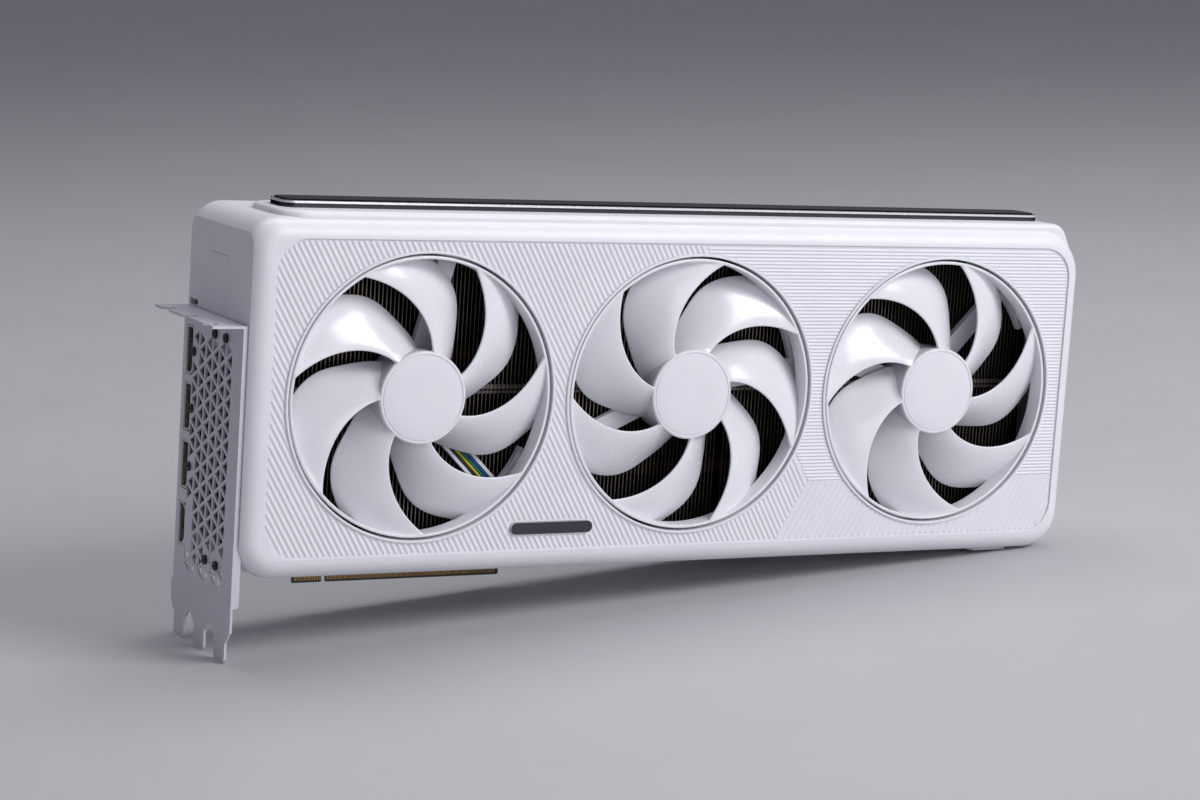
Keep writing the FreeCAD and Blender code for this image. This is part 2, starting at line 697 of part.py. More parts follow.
def fin_stack(span):
    """Row of upright fins joined along their rear edge by their folded flanges."""
    left, right = span
    back_of_fins = FIN_BACK - FIN_SPINE
    count = int((right - left - FIN_THICK) / FIN_PITCH) + 1
    outline = [(left, FIN_BACK)]
    for number in range(count):
        x = left + number * FIN_PITCH
        outline += [(x, back_of_fins)] if number else []
        outline += [(x, FIN_FRONT), (x + FIN_THICK, FIN_FRONT)]
        outline += [(x + FIN_THICK, back_of_fins)] if number < count - 1 else [(x + FIN_THICK, FIN_BACK)]
    comb = prism([(x, y, FIN_BOTTOM) for x, y in outline], V(0, 0, FIN_TOP - FIN_BOTTOM))
    power_notch = box(POWER_X - POWER_LENGTH / 2 - 1, POWER_X + POWER_LENGTH / 2 + 1, -POWER_DEPTH, 0,
                      SHROUD_TOP - POWER_RIM - POWER_HEIGHT - 1, SHROUD_TOP)
    return cut(comb, pipe_channels() + socket_room() + [power_notch])


def cold_plate():
    half_x, half_z, rear = PLATE_X / 2, PLATE_Z / 2, FIN_BACK + PLATE_THICK
    return box(CHIP_X - half_x, CHIP_X + half_x, FIN_BACK, rear, CHIP_Z - half_z, CHIP_Z + half_z)


def mounting_frame():
    """Plate round the cold plate, with four posts that stand on the board."""
    inner_x, inner_z = PLATE_X / 2 + 0.4, PLATE_Z / 2 + 0.4
    outer_x, outer_z = PLATE_X / 2 + FRAME_MARGIN, PLATE_Z / 2 + FRAME_MARGIN
    plate = slab_xz(CHIP_X - outer_x, CHIP_X + outer_x, CHIP_Z - outer_z, CHIP_Z + outer_z, FIN_BACK,
                    FIN_BACK + FRAME_PLATE, 4.0)
    window = box(CHIP_X - inner_x, CHIP_X + inner_x, FIN_BACK - 1, 0, CHIP_Z - inner_z, CHIP_Z + inner_z)
    posts = [disc(x, z, 3.0, FIN_BACK, 0) for x, z in board_screw_places()]
    holes = [disc(x, z, 1.2, FIN_BACK + 0.6, 1) for x, z in board_screw_places()]
    return cut(fuse([plate.cut(window)] + posts), holes)


def retention_places():
    reach = SUBSTRATE / 2 + 4.5
    return [(CHIP_X + sx * reach, CHIP_Z + sz * reach) for sx in (-1, 1) for sz in (-1, 1)]


def retention_bracket():
    """Sprung steel cross behind the chip."""
    front, back = BOARD_THICK + 0.3, BOARD_THICK + 1.3
    arms = []
    for x, z in retention_places():
        arm = V(x - CHIP_X, 0, z - CHIP_Z).normalize()
        across = V(-arm.z, 0, arm.x) * 3.0
        centre, end = V(CHIP_X, front, CHIP_Z), V(x, front, z)
        corners = [centre - across, end - across, end + across, centre + across]
        arms.append(prism([tuple(c) for c in corners], V(0, back - front, 0)))
        arms.append(disc(x, z, 4.0, front, back))
    holes = [disc(x, z, 1.25, 0, back + 1) for x, z in retention_places()]
    return cut(fuse([disc(CHIP_X, CHIP_Z, 11.0, front, back)] + arms), holes)


def retention_screws():
    """Screws that pull the cold plate on to the chip through the board."""
    return [screw((x, BOARD_THICK + 2.3, z), (x, FIN_BACK + PLATE_THICK, z), 2.4, 1.0, 1.2)
            for x, z in retention_places()]


# ---------------------------------------------------------------- shroud and rear cover
def rounded_body(inset):
    """Outer form of the closed housing, or its hollow when inset by the wall.

    The bracket end is cut off flat, a little way into the rounding of its edges.
    """
    end = SHROUD_LEFT + inset
    left, right = end - END_FLAT, SHROUD_RIGHT - inset
    front, rear = SHROUD_FRONT + inset, SHROUD_REAR - inset
    low, high = SHROUD_BOTTOM + inset, SHROUD_TOP - inset
    body = box(left, right, front, rear, low, high)
    corners = ((right, high, CORNER_TOP_RIGHT), (right, low, CORNER_BOTTOM_RIGHT),
               (left, low, CORNER_BOTTOM_LEFT), (left, high, CORNER_TOP_LEFT))
    for x, z, radius in corners:
        edge = [e for e in edges_along(body, V(0, 1, 0))
                if math.hypot(e.CenterOfMass.x - x, e.CenterOfMass.z - z) < 0.01]
        body = body.makeFillet(max(radius - inset, 1.0), edge)
    for y, radius in ((front, EDGE_FRONT), (rear, EDGE_REAR)):
        body = body.makeFillet(max(radius - inset, 1.0), edges_at_y(body, y))
    return body.cut(box(left - 1, end, front - 1, rear + 1, low - 1, high + 1))


def plateau():
    """Raised deck along the top that carries the mirror strip and slopes down to the far corner."""
    low, rear = PLATEAU_FOOT[1] - 2, PARTING_Y - 1.5
    outline = [(PLATEAU_LEFT, low), (PLATEAU_LEFT, PLATEAU_TOP), (PLATEAU_RIGHT, PLATEAU_TOP), PLATEAU_FOOT,
               (PLATEAU_FOOT[0], low)]
    deck = prism([(x, PLATEAU_FRONT, z) for x, z in outline], V(0, rear - PLATEAU_FRONT, 0))
    crest = [e for e in edges_along(deck, V(0, 1, 0))
             if math.hypot(e.CenterOfMass.x - PLATEAU_RIGHT, e.CenterOfMass.z - PLATEAU_TOP) < 0.01]
    deck = deck.makeFillet(PLATEAU_CREST_R, crest)
    upright = [e for e in edges_along(deck, V(0, 0, 1)) if e.CenterOfMass.x < PLATEAU_LEFT + 0.01]
    deck = deck.makeFillet(PLATEAU_CORNER, upright)
    rim = [e for e in edges_at_z(deck, PLATEAU_TOP) if e.BoundBox.XMin < PLATEAU_RIGHT - 20]
    return deck.makeFillet(PLATEAU_BEVEL, rim)


def front_zone(gap):
    """Region of the front shroud, with the step in the parting line at the bracket end."""
    zone = box(-5, SHROUD_RIGHT + 5, SHROUD_FRONT - 5, PARTING_Y - gap, SHROUD_BOTTOM - 5, PLATEAU_TOP + 5)
    right = SHROUD_LEFT + STEP_DEPTH
    return zone.cut(box(-6, right, STEP_Y - gap, PARTING_Y + 5, STEP_LOW_Z - gap, STEP_Z + gap))


def fan_boss_places(index, struts):
    return [polar(index, BOSS_CIRCLE_R, angle + side * BOSS_ANGLE) for angle in struts for side in (-1, 1)]


def fan_mounts():
    """Collars behind the three openings and bosses for the fan frames."""
    added = []
    front, outer = INNER_FRONT - 0.2, OPENING_R + OPENING_COLLAR
    for _, index, _, _, struts in FANS:
        added.append(ring(fan_x(index), FAN_Z, outer, OPENING_R, front, COLLAR_BACK))
        for x, z in fan_boss_places(index, struts):
            added.append(disc(x, z, BOSS_R, front, FAN_FRAME_FRONT))
    return added


def panel_recess():
    """Shallow rounded recess for the ribbed face, leaving a land round each opening."""
    recess = slab_xz(PANEL_LEFT, PANEL_RIGHT, PANEL_BOTTOM, PANEL_TOP, SHROUD_FRONT - 1,
                     SHROUD_FRONT + PANEL_RECESS, PANEL_CORNER)
    lands = [disc(fan_x(i), FAN_Z, OPENING_R + LAND, SHROUD_FRONT - 2, SHROUD_FRONT + 2) for i in range(3)]
    return cut(recess, lands)


def end_wall_cuts():
    """Air outlet through the bracket end, and room for the bracket's side flange."""
    window = box(SHROUD_LEFT - 1, SHROUD_LEFT + WALL + 1, -49, PARTING_Y + 0.5, 21.5, 92.5)
    pocket = box(-5, SIDE_FLANGE_DEPTH + POCKET_ROOM, BRACKET_NEAR_Y - POCKET_ROOM,
                 BRACKET_NEAR_Y + SHEET + POCKET_ROOM, 0, BRACKET_TOP + POCKET_ROOM)
    return [window, pocket]


def bracket_bosses():
    """Bosses in the bracket end that its four screws go into."""
    bosses = []
    for z, reach in zip(BRACKET_SCREW_Z, BRACKET_BOSS_REACH):
        bosses += [rod((SHEET, y, z), (SHROUD_LEFT + reach, y, z), 2.6) for y in BRACKET_SCREW_Y]
    return bosses


def front_shroud():
    window, pocket = end_wall_cuts()
    pilots = [rod((0, y, z), (SHROUD_LEFT + 5.5, y, z), 1.22) for y, z in bracket_screw_places()]
    shell = fuse([rounded_body(0), plateau()]).cut(rounded_body(WALL))
    shell = shell.common(front_zone(PARTING_GAP / 2))
    openings = [disc(fan_x(i), FAN_Z, OPENING_R, SHROUD_FRONT - 2, INNER_FRONT + 1) for i in range(3)]
    shell = cut(shell, openings + [panel_recess(), window])
    shell = fuse([shell] + fan_mounts() + bracket_bosses())
    drilled = []
    for _, index, _, _, struts in FANS:
        for x, z in fan_boss_places(index, struts):
            drilled.append(disc(x, z, FAN_SCREW_R, INNER_FRONT + 2, FAN_FRAME_FRONT + 1))
    x0, x1, z0, z1 = BADGE
    badge_seat = slab_xz(x0, x1, z0, z1, SHROUD_FRONT - 1, BADGE_BACK, (z1 - z0) * 0.49)
    return cut(shell, drilled + pilots + [pocket, badge_seat])


def cover_screw_places():
    """Screws in the rear cover: over the frame posts, and one near each far corner."""
    return board_screw_places() + [(BOARD_LEFT + 12, BOARD_TOP - 12), (BOARD_RIGHT - 8, BOARD_TOP - 24),
                                   (BOARD_RIGHT - 8, BOARD_BOTTOM + 16)]


def back_cover():
    """Rear shell with a slatted window behind the third fan and the power socket's cut-out."""
    shell = rounded_body(0).cut(rounded_body(WALL)).cut(front_zone(-PARTING_GAP / 2))
    x0, x1, z0, z1 = VENT_WINDOW
    tools = end_wall_cuts() + socket_room()
    z = z0
    while z + SLAT_GAP <= z1:
        tools.append(slab_xz(x0, x1, z, z + SLAT_GAP, INNER_REAR - 1, SHROUD_REAR + 1, SLAT_GAP * 0.45))
        z += SLAT_PITCH
    half = POWER_LENGTH / 2 + 0.4
    tools.append(box(POWER_X - half, POWER_X + half, 1.0 - POWER_DEPTH - 0.4, 0.6, SHROUD_TOP - WALL - 6,
                     SHROUD_TOP + 1))
    tools.append(box(BOARD_LEFT - 2, BOARD_RIGHT + 1.5, -2.0, BOARD_THICK + 0.4, 0,
                     SHROUD_BOTTOM + CORNER_BOTTOM_LEFT))
    tools.append(box(-1, SHROUD_LEFT + WALL + 1, PARTING_Y - 1, BOARD_THICK + 0.4, 13.0, 98.5))
    tools.append(box(-1, SHROUD_LEFT + WALL + 1, -4.5, 3.5, BRACKET_TOP + 0.3, BRACKET_TOP + 2.5))
    posts = [disc(x, z, 3.2, BOARD_THICK, INNER_REAR + 0.2) for x, z in cover_screw_places()]
    drilled = [disc(x, z, 1.3, BOARD_THICK - 1, SHROUD_REAR + 1) for x, z in cover_screw_places()]
    drilled += [disc(x, z, 2.7, SHROUD_REAR - 1.2, SHROUD_REAR + 1) for x, z in cover_screw_places()]
    return cut(fuse([cut(shell, tools)] + posts), drilled)


def cover_screws():
    return [screw((x, SHROUD_REAR - 0.1, z), (x, POST_SCREW_TIP, z), 2.5, 1.1, 1.2)
            for x, z in cover_screw_places()]


# ---------------------------------------------------------------- trim
def strip_outline(inset, z0, z1):
    return slab_xy(STRIP_LEFT + inset, STRIP_RIGHT - inset, STRIP_FRONT + inset, STRIP_REAR - inset, z0, z1,
                   STRIP_CORNER - inset)


def strip_bezel():
    outer = strip_outline(0, PLATEAU_TOP, PLATEAU_TOP + STRIP_HEIGHT - BEZEL_DROP)
    return outer.cut(strip_outline(BEZEL_WALL, PLATEAU_TOP - 1, PLATEAU_TOP + STRIP_HEIGHT))


def mirror_strip():
    bar = strip_outline(BEZEL_WALL, PLATEAU_TOP, PLATEAU_TOP + STRIP_HEIGHT)
    return bar.makeChamfer(BEZEL_DROP * 0.9, edges_at_z(bar, PLATEAU_TOP + STRIP_HEIGHT))


def badge_plate():
    x0, x1, z0, z1 = BADGE
    inset = 0.1
    return slab_xz(x0 + inset, x1 - inset, z0 + inset, z1 - inset, SHROUD_FRONT - BADGE_RAISE, BADGE_BACK,
                   (z1 - z0 - 2 * inset) * 0.49)


def foot_pad():
    y = SHROUD_FRONT + EDGE_FRONT
    pad = slab_xy(FOOT[0], FOOT[1], y, y + FOOT_WIDTH, SHROUD_BOTTOM - FOOT_HEIGHT, SHROUD_BOTTOM, 3.0)
    return pad


# ---------------------------------------------------------------- fans, built round the origin, then placed
def blade_edges(s):
    """Angles of the leading and trailing edges, from the hub (0) to the ring (1)."""
    s = max(s, 0.0)
    lead = LEAD_SWEEP * s ** LEAD_CURVE
    trail = TRAIL_ROOT + (TRAIL_TIP - TRAIL_ROOT) * s + TRAIL_BOW * math.sin(2 * math.pi * s)
    return lead, trail


def blade_middle(radius, t):
    """Point on the blade's middle surface at one radius, from leading (0) to trailing edge (1)."""
    s = (radius - HUB_R) / (RING_INNER - HUB_R)
    lead, trail = blade_edges(s)
    angle = math.radians(lead + (trail - lead) * t)
    y = BLADE_FRONT + (BLADE_BACK - BLADE_FRONT) * t ** BLADE_CAMBER
    return V(radius * math.cos(angle), y, radius * math.sin(angle))


def blade():
    stations = 9
    chords = 8
    root, tip = HUB_R - HUB_WALL * 0.5, RING_INNER + RING_WALL * 0.5
    faces_grid = ([], [])
    for i in range(stations):
        radius = root + (tip - root) * i / (stations - 1)
        rows = ([], [])
        for j in range(chords):
            t = j / (chords - 1)
            point = blade_middle(radius, t)
            along = blade_middle(radius, min(t + 0.02, 1.0)) - blade_middle(radius, max(t - 0.02, 0.0))
            out = blade_middle(radius + 0.3, t) - blade_middle(radius - 0.3, t)
            normal = along.cross(out).normalize()
            half = (BLADE_EDGE_THICK + (BLADE_THICK - BLADE_EDGE_THICK) * math.sin(math.pi * t) ** 0.7) / 2
            rows[0].append(point + normal * half)
            rows[1].append(point - normal * half)
        faces_grid[0].append(rows[0])
        faces_grid[1].append(rows[1])
    sides = []
    for grid in faces_grid:
        surface = Part.BSplineSurface()
        surface.interpolate(grid)
        sides.append(surface)
    faces = [surface.toShape() for surface in sides]
    u0, u1, v0, v1 = sides[0].bounds()
    for u in (u0, u1):
        faces.append(Part.makeRuledSurface(sides[0].uIso(u).toShape(), sides[1].uIso(u).toShape()))
    for v in (v0, v1):
        faces.append(Part.makeRuledSurface(sides[0].vIso(v).toShape(), sides[1].vIso(v).toShape()))
    shell = Part.makeShell(faces)
    shell.sewShape()
    solid = Part.makeSolid(shell)
    if solid.Volume < 0:
        solid.reverse()
    return solid


def rotor():
    """Hub cup, swept blades and outer ring, moulded as one piece."""
    hollow = disc(0, 0, HUB_R - HUB_WALL, CAP_BACK + HUB_WALL, HUB_BACK + 1)
    cup = disc(0, 0, HUB_R, CAP_BACK, HUB_BACK).cut(hollow)
    boss = ring(0, 0, SHAFT_R + 1.4, SHAFT_R, CAP_BACK + HUB_WALL - 0.1, CAP_BACK + HUB_WALL + 1.6)
    band = ring(0, 0, RING_OUTER, RING_INNER, RING_FRONT, RING_BACK)
    one = blade()
    blades = []
    for number in range(BLADE_COUNT):
        copy = one.copy()
        copy.rotate(V(0, 0, 0), V(0, 1, 0), number * 360.0 / BLADE_COUNT)
        blades.append(copy)
    return fuse([cup, boss, band] + blades).cut(disc(0, 0, HUB_R, HUB_FRONT - 1, CAP_BACK))


def hub_cap():
    cap = disc(0, 0, HUB_R, HUB_FRONT, CAP_BACK)
    return cap.makeFillet(CAP_EDGE, edges_at_y(cap, HUB_FRONT))


def fan_shaft():
    return rod((0, CAP_BACK + HUB_WALL, 0), (0, FAN_FRAME_FRONT + 1.2, 0), SHAFT_R)


def fan_magnet():
    outer = HUB_R - HUB_WALL
    return ring(0, 0, outer, outer - MAGNET_THICK, CAP_BACK + HUB_WALL + 0.6, HUB_BACK - 0.6)


def fan_bearing():
    bore = SHAFT_R + SHAFT_CLEARANCE
    return ring(0, 0, BEARING_R, bore, CAP_BACK + HUB_WALL + 2.2, FAN_FRAME_FRONT)


def fan_stator():
    """Slotted steel core round the bearing sleeve."""
    front, back = CAP_BACK + HUB_WALL + 2.6, FAN_FRAME_FRONT - 0.6
    core = ring(0, 0, STATOR_R, SLEEVE_R, front, back)
    slots = []
    for number in range(STATOR_POLES):
        angle = 360.0 * number / STATOR_POLES
        pocket = box(SLEEVE_R + 1.6, STATOR_R - 1.4, front - 1, back + 1, -1.7, 1.7)
        mouth = box(STATOR_R - 2, STATOR_R + 1, front - 1, back + 1, -0.6, 0.6)
        for tool in (pocket, mouth):
            tool.rotate(V(0, 0, 0), V(0, 1, 0), angle)
            slots.append(tool)
    return cut(core, slots)


def arc_foot(degrees):
    """Short curved foot at the end of a strut."""
    foot = ring(0, 0, FOOT_OUTER_R, FOOT_INNER_R, FAN_FRAME_FRONT, FAN_FRAME_BACK)
    reach = 80.0
    low, high = math.radians(degrees - FOOT_HALF_ANGLE), math.radians(degrees + FOOT_HALF_ANGLE)
    front = FAN_FRAME_FRONT - 1
    corners = [(0, front, 0)]
    corners += [(reach * math.cos(side), front, reach * math.sin(side)) for side in (low, high)]
    wedge = prism(corners, V(0, FAN_FRAME_THICK + 2, 0))
    return foot.common(wedge)


def turned(shape, degrees):
    """Copy turned about the fan axis, counter-clockwise as seen from the front."""
    copy = shape.copy()
    copy.rotate(V(0, 0, 0), V(0, 1, 0), -degrees)
    return copy


def ribbon_front(index):
    """Front face of the flat wires in one fan's strut."""
    if index in REAR_LEADS:
        return FAN_FRAME_BACK - RIBBON_GAP - RIBBON_THICK
    return FAN_FRAME_FRONT + RIBBON_GAP


def fan_frame(index, struts):
    """Motor plate, bearing sleeve, three struts and their curved feet; the first strut holds the lead."""
    plate = disc(0, 0, MOTOR_PLATE_R, FAN_FRAME_FRONT, FAN_FRAME_BACK)
    sleeve = disc(0, 0, SLEEVE_R, CAP_BACK + HUB_WALL + 2.4, FAN_FRAME_FRONT + 0.1)
    arm = box(MOTOR_PLATE_R - 2, FOOT_INNER_R + 1, FAN_FRAME_FRONT, FAN_FRAME_BACK, -STRUT_WIDTH / 2,
              STRUT_WIDTH / 2)
    pieces = [plate, sleeve]
    for angle in struts:
        pieces += [turned(arm, angle), arc_foot(angle)]
    holes = []
    for angle in struts:
        for side in (-1, 1):
            at = math.radians(angle + side * BOSS_ANGLE)
            holes.append(disc(BOSS_CIRCLE_R * math.cos(at), BOSS_CIRCLE_R * math.sin(at), FAN_SCREW_R + 0.2,
                              FAN_FRAME_FRONT - 1, FAN_FRAME_BACK + 1))
    holes.append(disc(0, 0, BEARING_R, CAP_BACK, FAN_FRAME_FRONT))
    holes.append(disc(0, 0, SHAFT_R + 0.4, FAN_FRAME_FRONT - 1, FAN_FRAME_FRONT + 1.6))
    half = RIBBON_WIDTH / 2 + 0.1
    front = ribbon_front(index)
    if index in REAR_LEADS:
        channel = box(SLEEVE_R + 3, FOOT_OUTER_R + 1, front, FAN_FRAME_BACK + 1, -half, half)
    else:
        channel = box(STATOR_R + 1, FOOT_OUTER_R + 1, FAN_FRAME_FRONT - 1, front + RIBBON_THICK, -half, half)
    holes.append(turned(channel, struts[0]))
    return cut(fuse(pieces), holes)


def place(shape, index):
    copy = shape.copy()
    copy.translate(V(fan_x(index), 0, FAN_Z))
    return copy


def placed_rotor(base, index, sweep, phase):
    """Rotor turned to its resting angle; the middle fan is the mirror image of the outer two."""
    shape = turned(base, phase)
    if sweep < 0:
        shape = shape.mirror(V(0, 0, 0), V(1, 0, 0))
    return place(shape, index)


def lead_ribbon(index, degrees):
    """Four flat wires in the strut's channel."""
    front = ribbon_front(index)
    flat = box(STATOR_R + 1.4, FOOT_OUTER_R, front, front + RIBBON_THICK, -RIBBON_WIDTH / 2, RIBBON_WIDTH / 2)
    return place(turned(flat, degrees), index)


def fan_lead(index, degrees):
    """Flat wires along the strut, then a bundle down past the fins to the socket on the board."""
    y = ribbon_front(index) + RIBBON_THICK / 2
    start_x, start_z = polar(index, FOOT_OUTER_R, degrees)
    return [lead_ribbon(index, degrees), swept_tube(((start_x, y, start_z),) + LEAD_ROUTES[index], LEAD_R)]


def fan_screws():
    """Screws from behind through the curved feet into the shroud's bosses."""
    screws = []
    for _, index, _, _, struts in FANS:
        for x, z in fan_boss_places(index, struts):
            head, tip = (x, FAN_FRAME_BACK + 1.1, z), (x, FAN_FRAME_FRONT - 3.5, z)
            screws.append(screw(head, tip, 1.5, 1.1, FAN_SCREW_R))
    return screws


# ---------------------------------------------------------------- output
def write(name, shape):
    """Export one piece, or a group of like pieces, and say what it holds."""
    if isinstance(shape, list):
        shape = Part.makeCompound(shape)
    if not shape.isValid() or any(solid.Volume <= 0 for solid in shape.Solids):
        raise ValueError("piece %s is not a sound solid" % name)
    print("%-24s %4d solids %12.1f mm3" % (name, len(shape.Solids), shape.Volume))
    shape.exportStep("parts/%s.step" % name)


def main():
    os.makedirs("parts", exist_ok=True)
    write("io_bracket", io_bracket())
    write("bracket_screws", bracket_screws())
    for number, z in enumerate(DP_Z, 1):
        write("displayport_%d" % number, displayport(z))
    write("hdmi_port", hdmi_port())
    write("port_screws", port_screws())
    write("circuit_board", circuit_board())
    write("edge_contacts", edge_contacts())
    write("gpu_substrate", gpu_substrate())
    write("gpu_die", gpu_die())
    write("memory_chips", memory_blocks(0, MEMORY_THICK))
    write("thermal_pads", memory_blocks(MEMORY_THICK, -(FIN_BACK + PLATE_THICK)))
    write("power_chokes", power_chokes())
    write("power_stages", power_stages())
    write("capacitors", capacitors())
    write("fan_sockets", fan_sockets())
    write("power_socket", power_socket())
    write("cold_plate", cold_plate())
    write("heat_pipes_low", heat_pipes(0))
    write("heat_pipes_high", heat_pipes(1))
    write("fin_stack_main", fin_stack(MAIN_STACK))
    write("fin_stack_end", fin_stack(END_STACK))
    write("mounting_frame", mounting_frame())
    write("retention_bracket", retention_bracket())
    write("retention_screws", retention_screws())
    write("front_shroud", front_shroud())
    write("back_cover", back_cover())
    write("cover_screws", cover_screws())
    write("strip_bezel", strip_bezel())
    write("mirror_strip", mirror_strip())
    write("badge_plate", badge_plate())
    write("foot_pad", foot_pad())
    base_rotor = rotor()
    for name, index, sweep, phase, struts in FANS:
        write("fan_%s_rotor" % name, placed_rotor(base_rotor, index, sweep, phase))
        write("fan_%s_cap" % name, place(hub_cap(), index))
        write("fan_%s_shaft" % name, place(fan_shaft(), index))
        write("fan_%s_magnet" % name, place(fan_magnet(), index))
        write("fan_%s_bearing" % name, place(fan_bearing(), index))
        write("fan_%s_stator" % name, place(fan_stator(), index))
        write("fan_%s_frame" % name, place(fan_frame(index, struts), index))
        write("fan_%s_lead" % name, fan_lead(index, struts[0]))
    write("fan_screws", fan_screws())


main()
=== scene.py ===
"""Looks of a triple-fan graphics card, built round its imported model.

Lengths named here are in millimetres in the card's own frame and become metres where a mesh is
made: X runs along the card from the slot bracket, Y from the fans to the rear, Z upwards.
"""

import json
import math

import bpy
from mathutils import Matrix, Vector


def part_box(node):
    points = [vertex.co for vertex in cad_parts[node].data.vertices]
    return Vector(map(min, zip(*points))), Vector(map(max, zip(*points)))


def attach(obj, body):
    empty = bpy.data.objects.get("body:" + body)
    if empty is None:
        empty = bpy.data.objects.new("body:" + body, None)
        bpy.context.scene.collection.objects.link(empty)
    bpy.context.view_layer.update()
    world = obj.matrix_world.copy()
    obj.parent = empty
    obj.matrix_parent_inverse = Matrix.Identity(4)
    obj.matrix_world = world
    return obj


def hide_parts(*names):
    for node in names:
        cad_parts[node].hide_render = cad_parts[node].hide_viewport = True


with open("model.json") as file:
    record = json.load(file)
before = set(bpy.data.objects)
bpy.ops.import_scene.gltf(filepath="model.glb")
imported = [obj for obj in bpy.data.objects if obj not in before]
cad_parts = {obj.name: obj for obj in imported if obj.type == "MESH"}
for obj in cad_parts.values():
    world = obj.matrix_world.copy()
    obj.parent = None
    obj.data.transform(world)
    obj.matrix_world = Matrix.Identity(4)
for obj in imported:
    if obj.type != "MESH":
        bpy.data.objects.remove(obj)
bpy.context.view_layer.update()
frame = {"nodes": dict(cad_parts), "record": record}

MM = 0.001

# ---- sizes shared with the construction ----
FRONT = -58.0
PANEL = (9.5, 344.8, 22.0, 134.9)
PANEL_CORNER = 12.0
PANEL_RECESS = 0.8
FAN_X = (67.5, 177.1, 286.7)
FAN_Z = 78.7
OPENING_R = 51.45
LAND = 0.9
RING_OUTER = 50.55
RING_INNER = 49.35
RING_FRONT = -57.4
RING_BACK = -50.5
BLADE_COUNT = 7
BLADE_FRONT = -56.7
BLADE_BACK = -46.6
BLADE_HALF = 0.65
BLADE_CAMBER = 1.4
LEAD_SWEEP = 40.0
LEAD_CURVE = 1.15
TRAIL_ROOT = -45.0
TRAIL_TIP = 6.0
TRAIL_BOW = 3.0
HUB_R = 16.8
HUB_WALL = 1.3
HUB_BACK = -45.2
CAP_FRONT = -57.8
END_FACE_X = 1.7
PARTING_Y = -14.2
STEP_Y = -32.3
STEP_Z = 125.4
STEP_LOW_Z = 104.2
PARTING_TOP_Z = 135.6
CAP_BACK = -56.5
SHAFT_R = 1.5
FIN_FRONT = -40.3
FIN_PITCH = 1.6
FIN_THICK = 0.35
FIN_SPANS = ((11.0, 199.8), (202.2, 339.1))
FRAME_FRONT = -44.5
FRAME_BACK = -41.8
STRUT_START_R = 14.0
STRUT_END_R = 54.2

# name, place along the card, sweep direction, phase of the blades, angle of the strut with the lead
FANS = (("left", 0, 1, 28.6, -45.0), ("middle", 1, -1, 10.7, 205.0), ("right", 2, 1, 42.2, 265.0))

# Fans whose lead lies in the rear face of its strut, out of sight.
REAR_LEADS = (1, 2)

# Route of each lead past its strut, given point by point.
LEAD_ROUTES = (
    ((112.0, -44.2, 34.5), (120.6, -45.8, 18.6), (121.8, -25.0, 18.8), (121.0, -1.1, 19.4)),
    ((118.0, -42.9, 51.1), (121.0, -43.6, 35.0), (131.0, -45.0, 18.6), (132.6, -25.0, 18.8),
     (133.0, -1.1, 19.4)),
    ((281.3, -43.0, 19.0), (270.0, -33.0, 18.6), (252.0, -19.0, 18.9), (243.4, -9.0, 19.2),
     (243.0, -1.1, 19.4)),
)

# ---- the floor, touched by the bracket's tongues and the foot pad ----
FLOOR_AT_BRACKET = -16.16
FLOOR_SLOPE = 0.0887


# ---------------------------------------------------------------- materials
def link(tree, source, target):
    tree.links.new(source, target)


def noise(tree, scale, detail=4.0, stretch=(1.0, 1.0, 1.0)):
    """Fine noise in the object's own space, which does not depend on the camera."""
    place = tree.nodes.new("ShaderNodeTexCoord")
    sizing = tree.nodes.new("ShaderNodeMapping")
    sizing.inputs["Scale"].default_value = stretch
    texture = tree.nodes.new("ShaderNodeTexNoise")
    texture.inputs["Scale"].default_value = scale
    texture.inputs["Detail"].default_value = detail
    link(tree, place.outputs["Object"], sizing.inputs["Vector"])
    link(tree, sizing.outputs["Vector"], texture.inputs["Vector"])
    return texture.outputs["Fac"]


# Part of a noise's range that holds nearly all of its values.
NOISE_LOW = 0.3
NOISE_HIGH = 0.7


def ranged(tree, value, low, high, start=NOISE_LOW, end=NOISE_HIGH):
    mapped = tree.nodes.new("ShaderNodeMapRange")
    mapped.inputs["From Min"].default_value = start
    mapped.inputs["From Max"].default_value = end
    mapped.inputs["To Min"].default_value = low
    mapped.inputs["To Max"].default_value = high
    link(tree, value, mapped.inputs["Value"])
    return mapped.outputs["Result"]


def blended(tree, factor, first, second):
    mix = tree.nodes.new("ShaderNodeMix")
    mix.data_type = "RGBA"
    mix.inputs["A"].default_value = (*first, 1.0)
    mix.inputs["B"].default_value = (*second, 1.0)
    link(tree, factor, mix.inputs["Factor"])
    return mix.outputs["Result"]


def tinted(tree, factor, under, color):
    """One colour laid over the colour of another socket."""
    mix = tree.nodes.new("ShaderNodeMix")
    mix.data_type = "RGBA"
    mix.inputs["B"].default_value = (*color, 1.0)
    link(tree, factor, mix.inputs["Factor"])
    link(tree, under, mix.inputs["A"])
    return mix.outputs["Result"]


def math_node(tree, operation, value, constant=None):
    step = tree.nodes.new("ShaderNodeMath")
    step.operation = operation
    link(tree, value, step.inputs[0])
    if constant is not None:
        step.inputs[1].default_value = constant
    return step


def distance_from(tree, value, place):
    """Distance of one coordinate from a place on its axis."""
    away = math_node(tree, "SUBTRACT", value, place * MM)
    return math_node(tree, "ABSOLUTE", away.outputs[0]).outputs[0]


COAT_ROUGHNESS = 0.08
RELIEF_DEPTH = 0.0002
GLOSS_PER_MOTTLE = 7


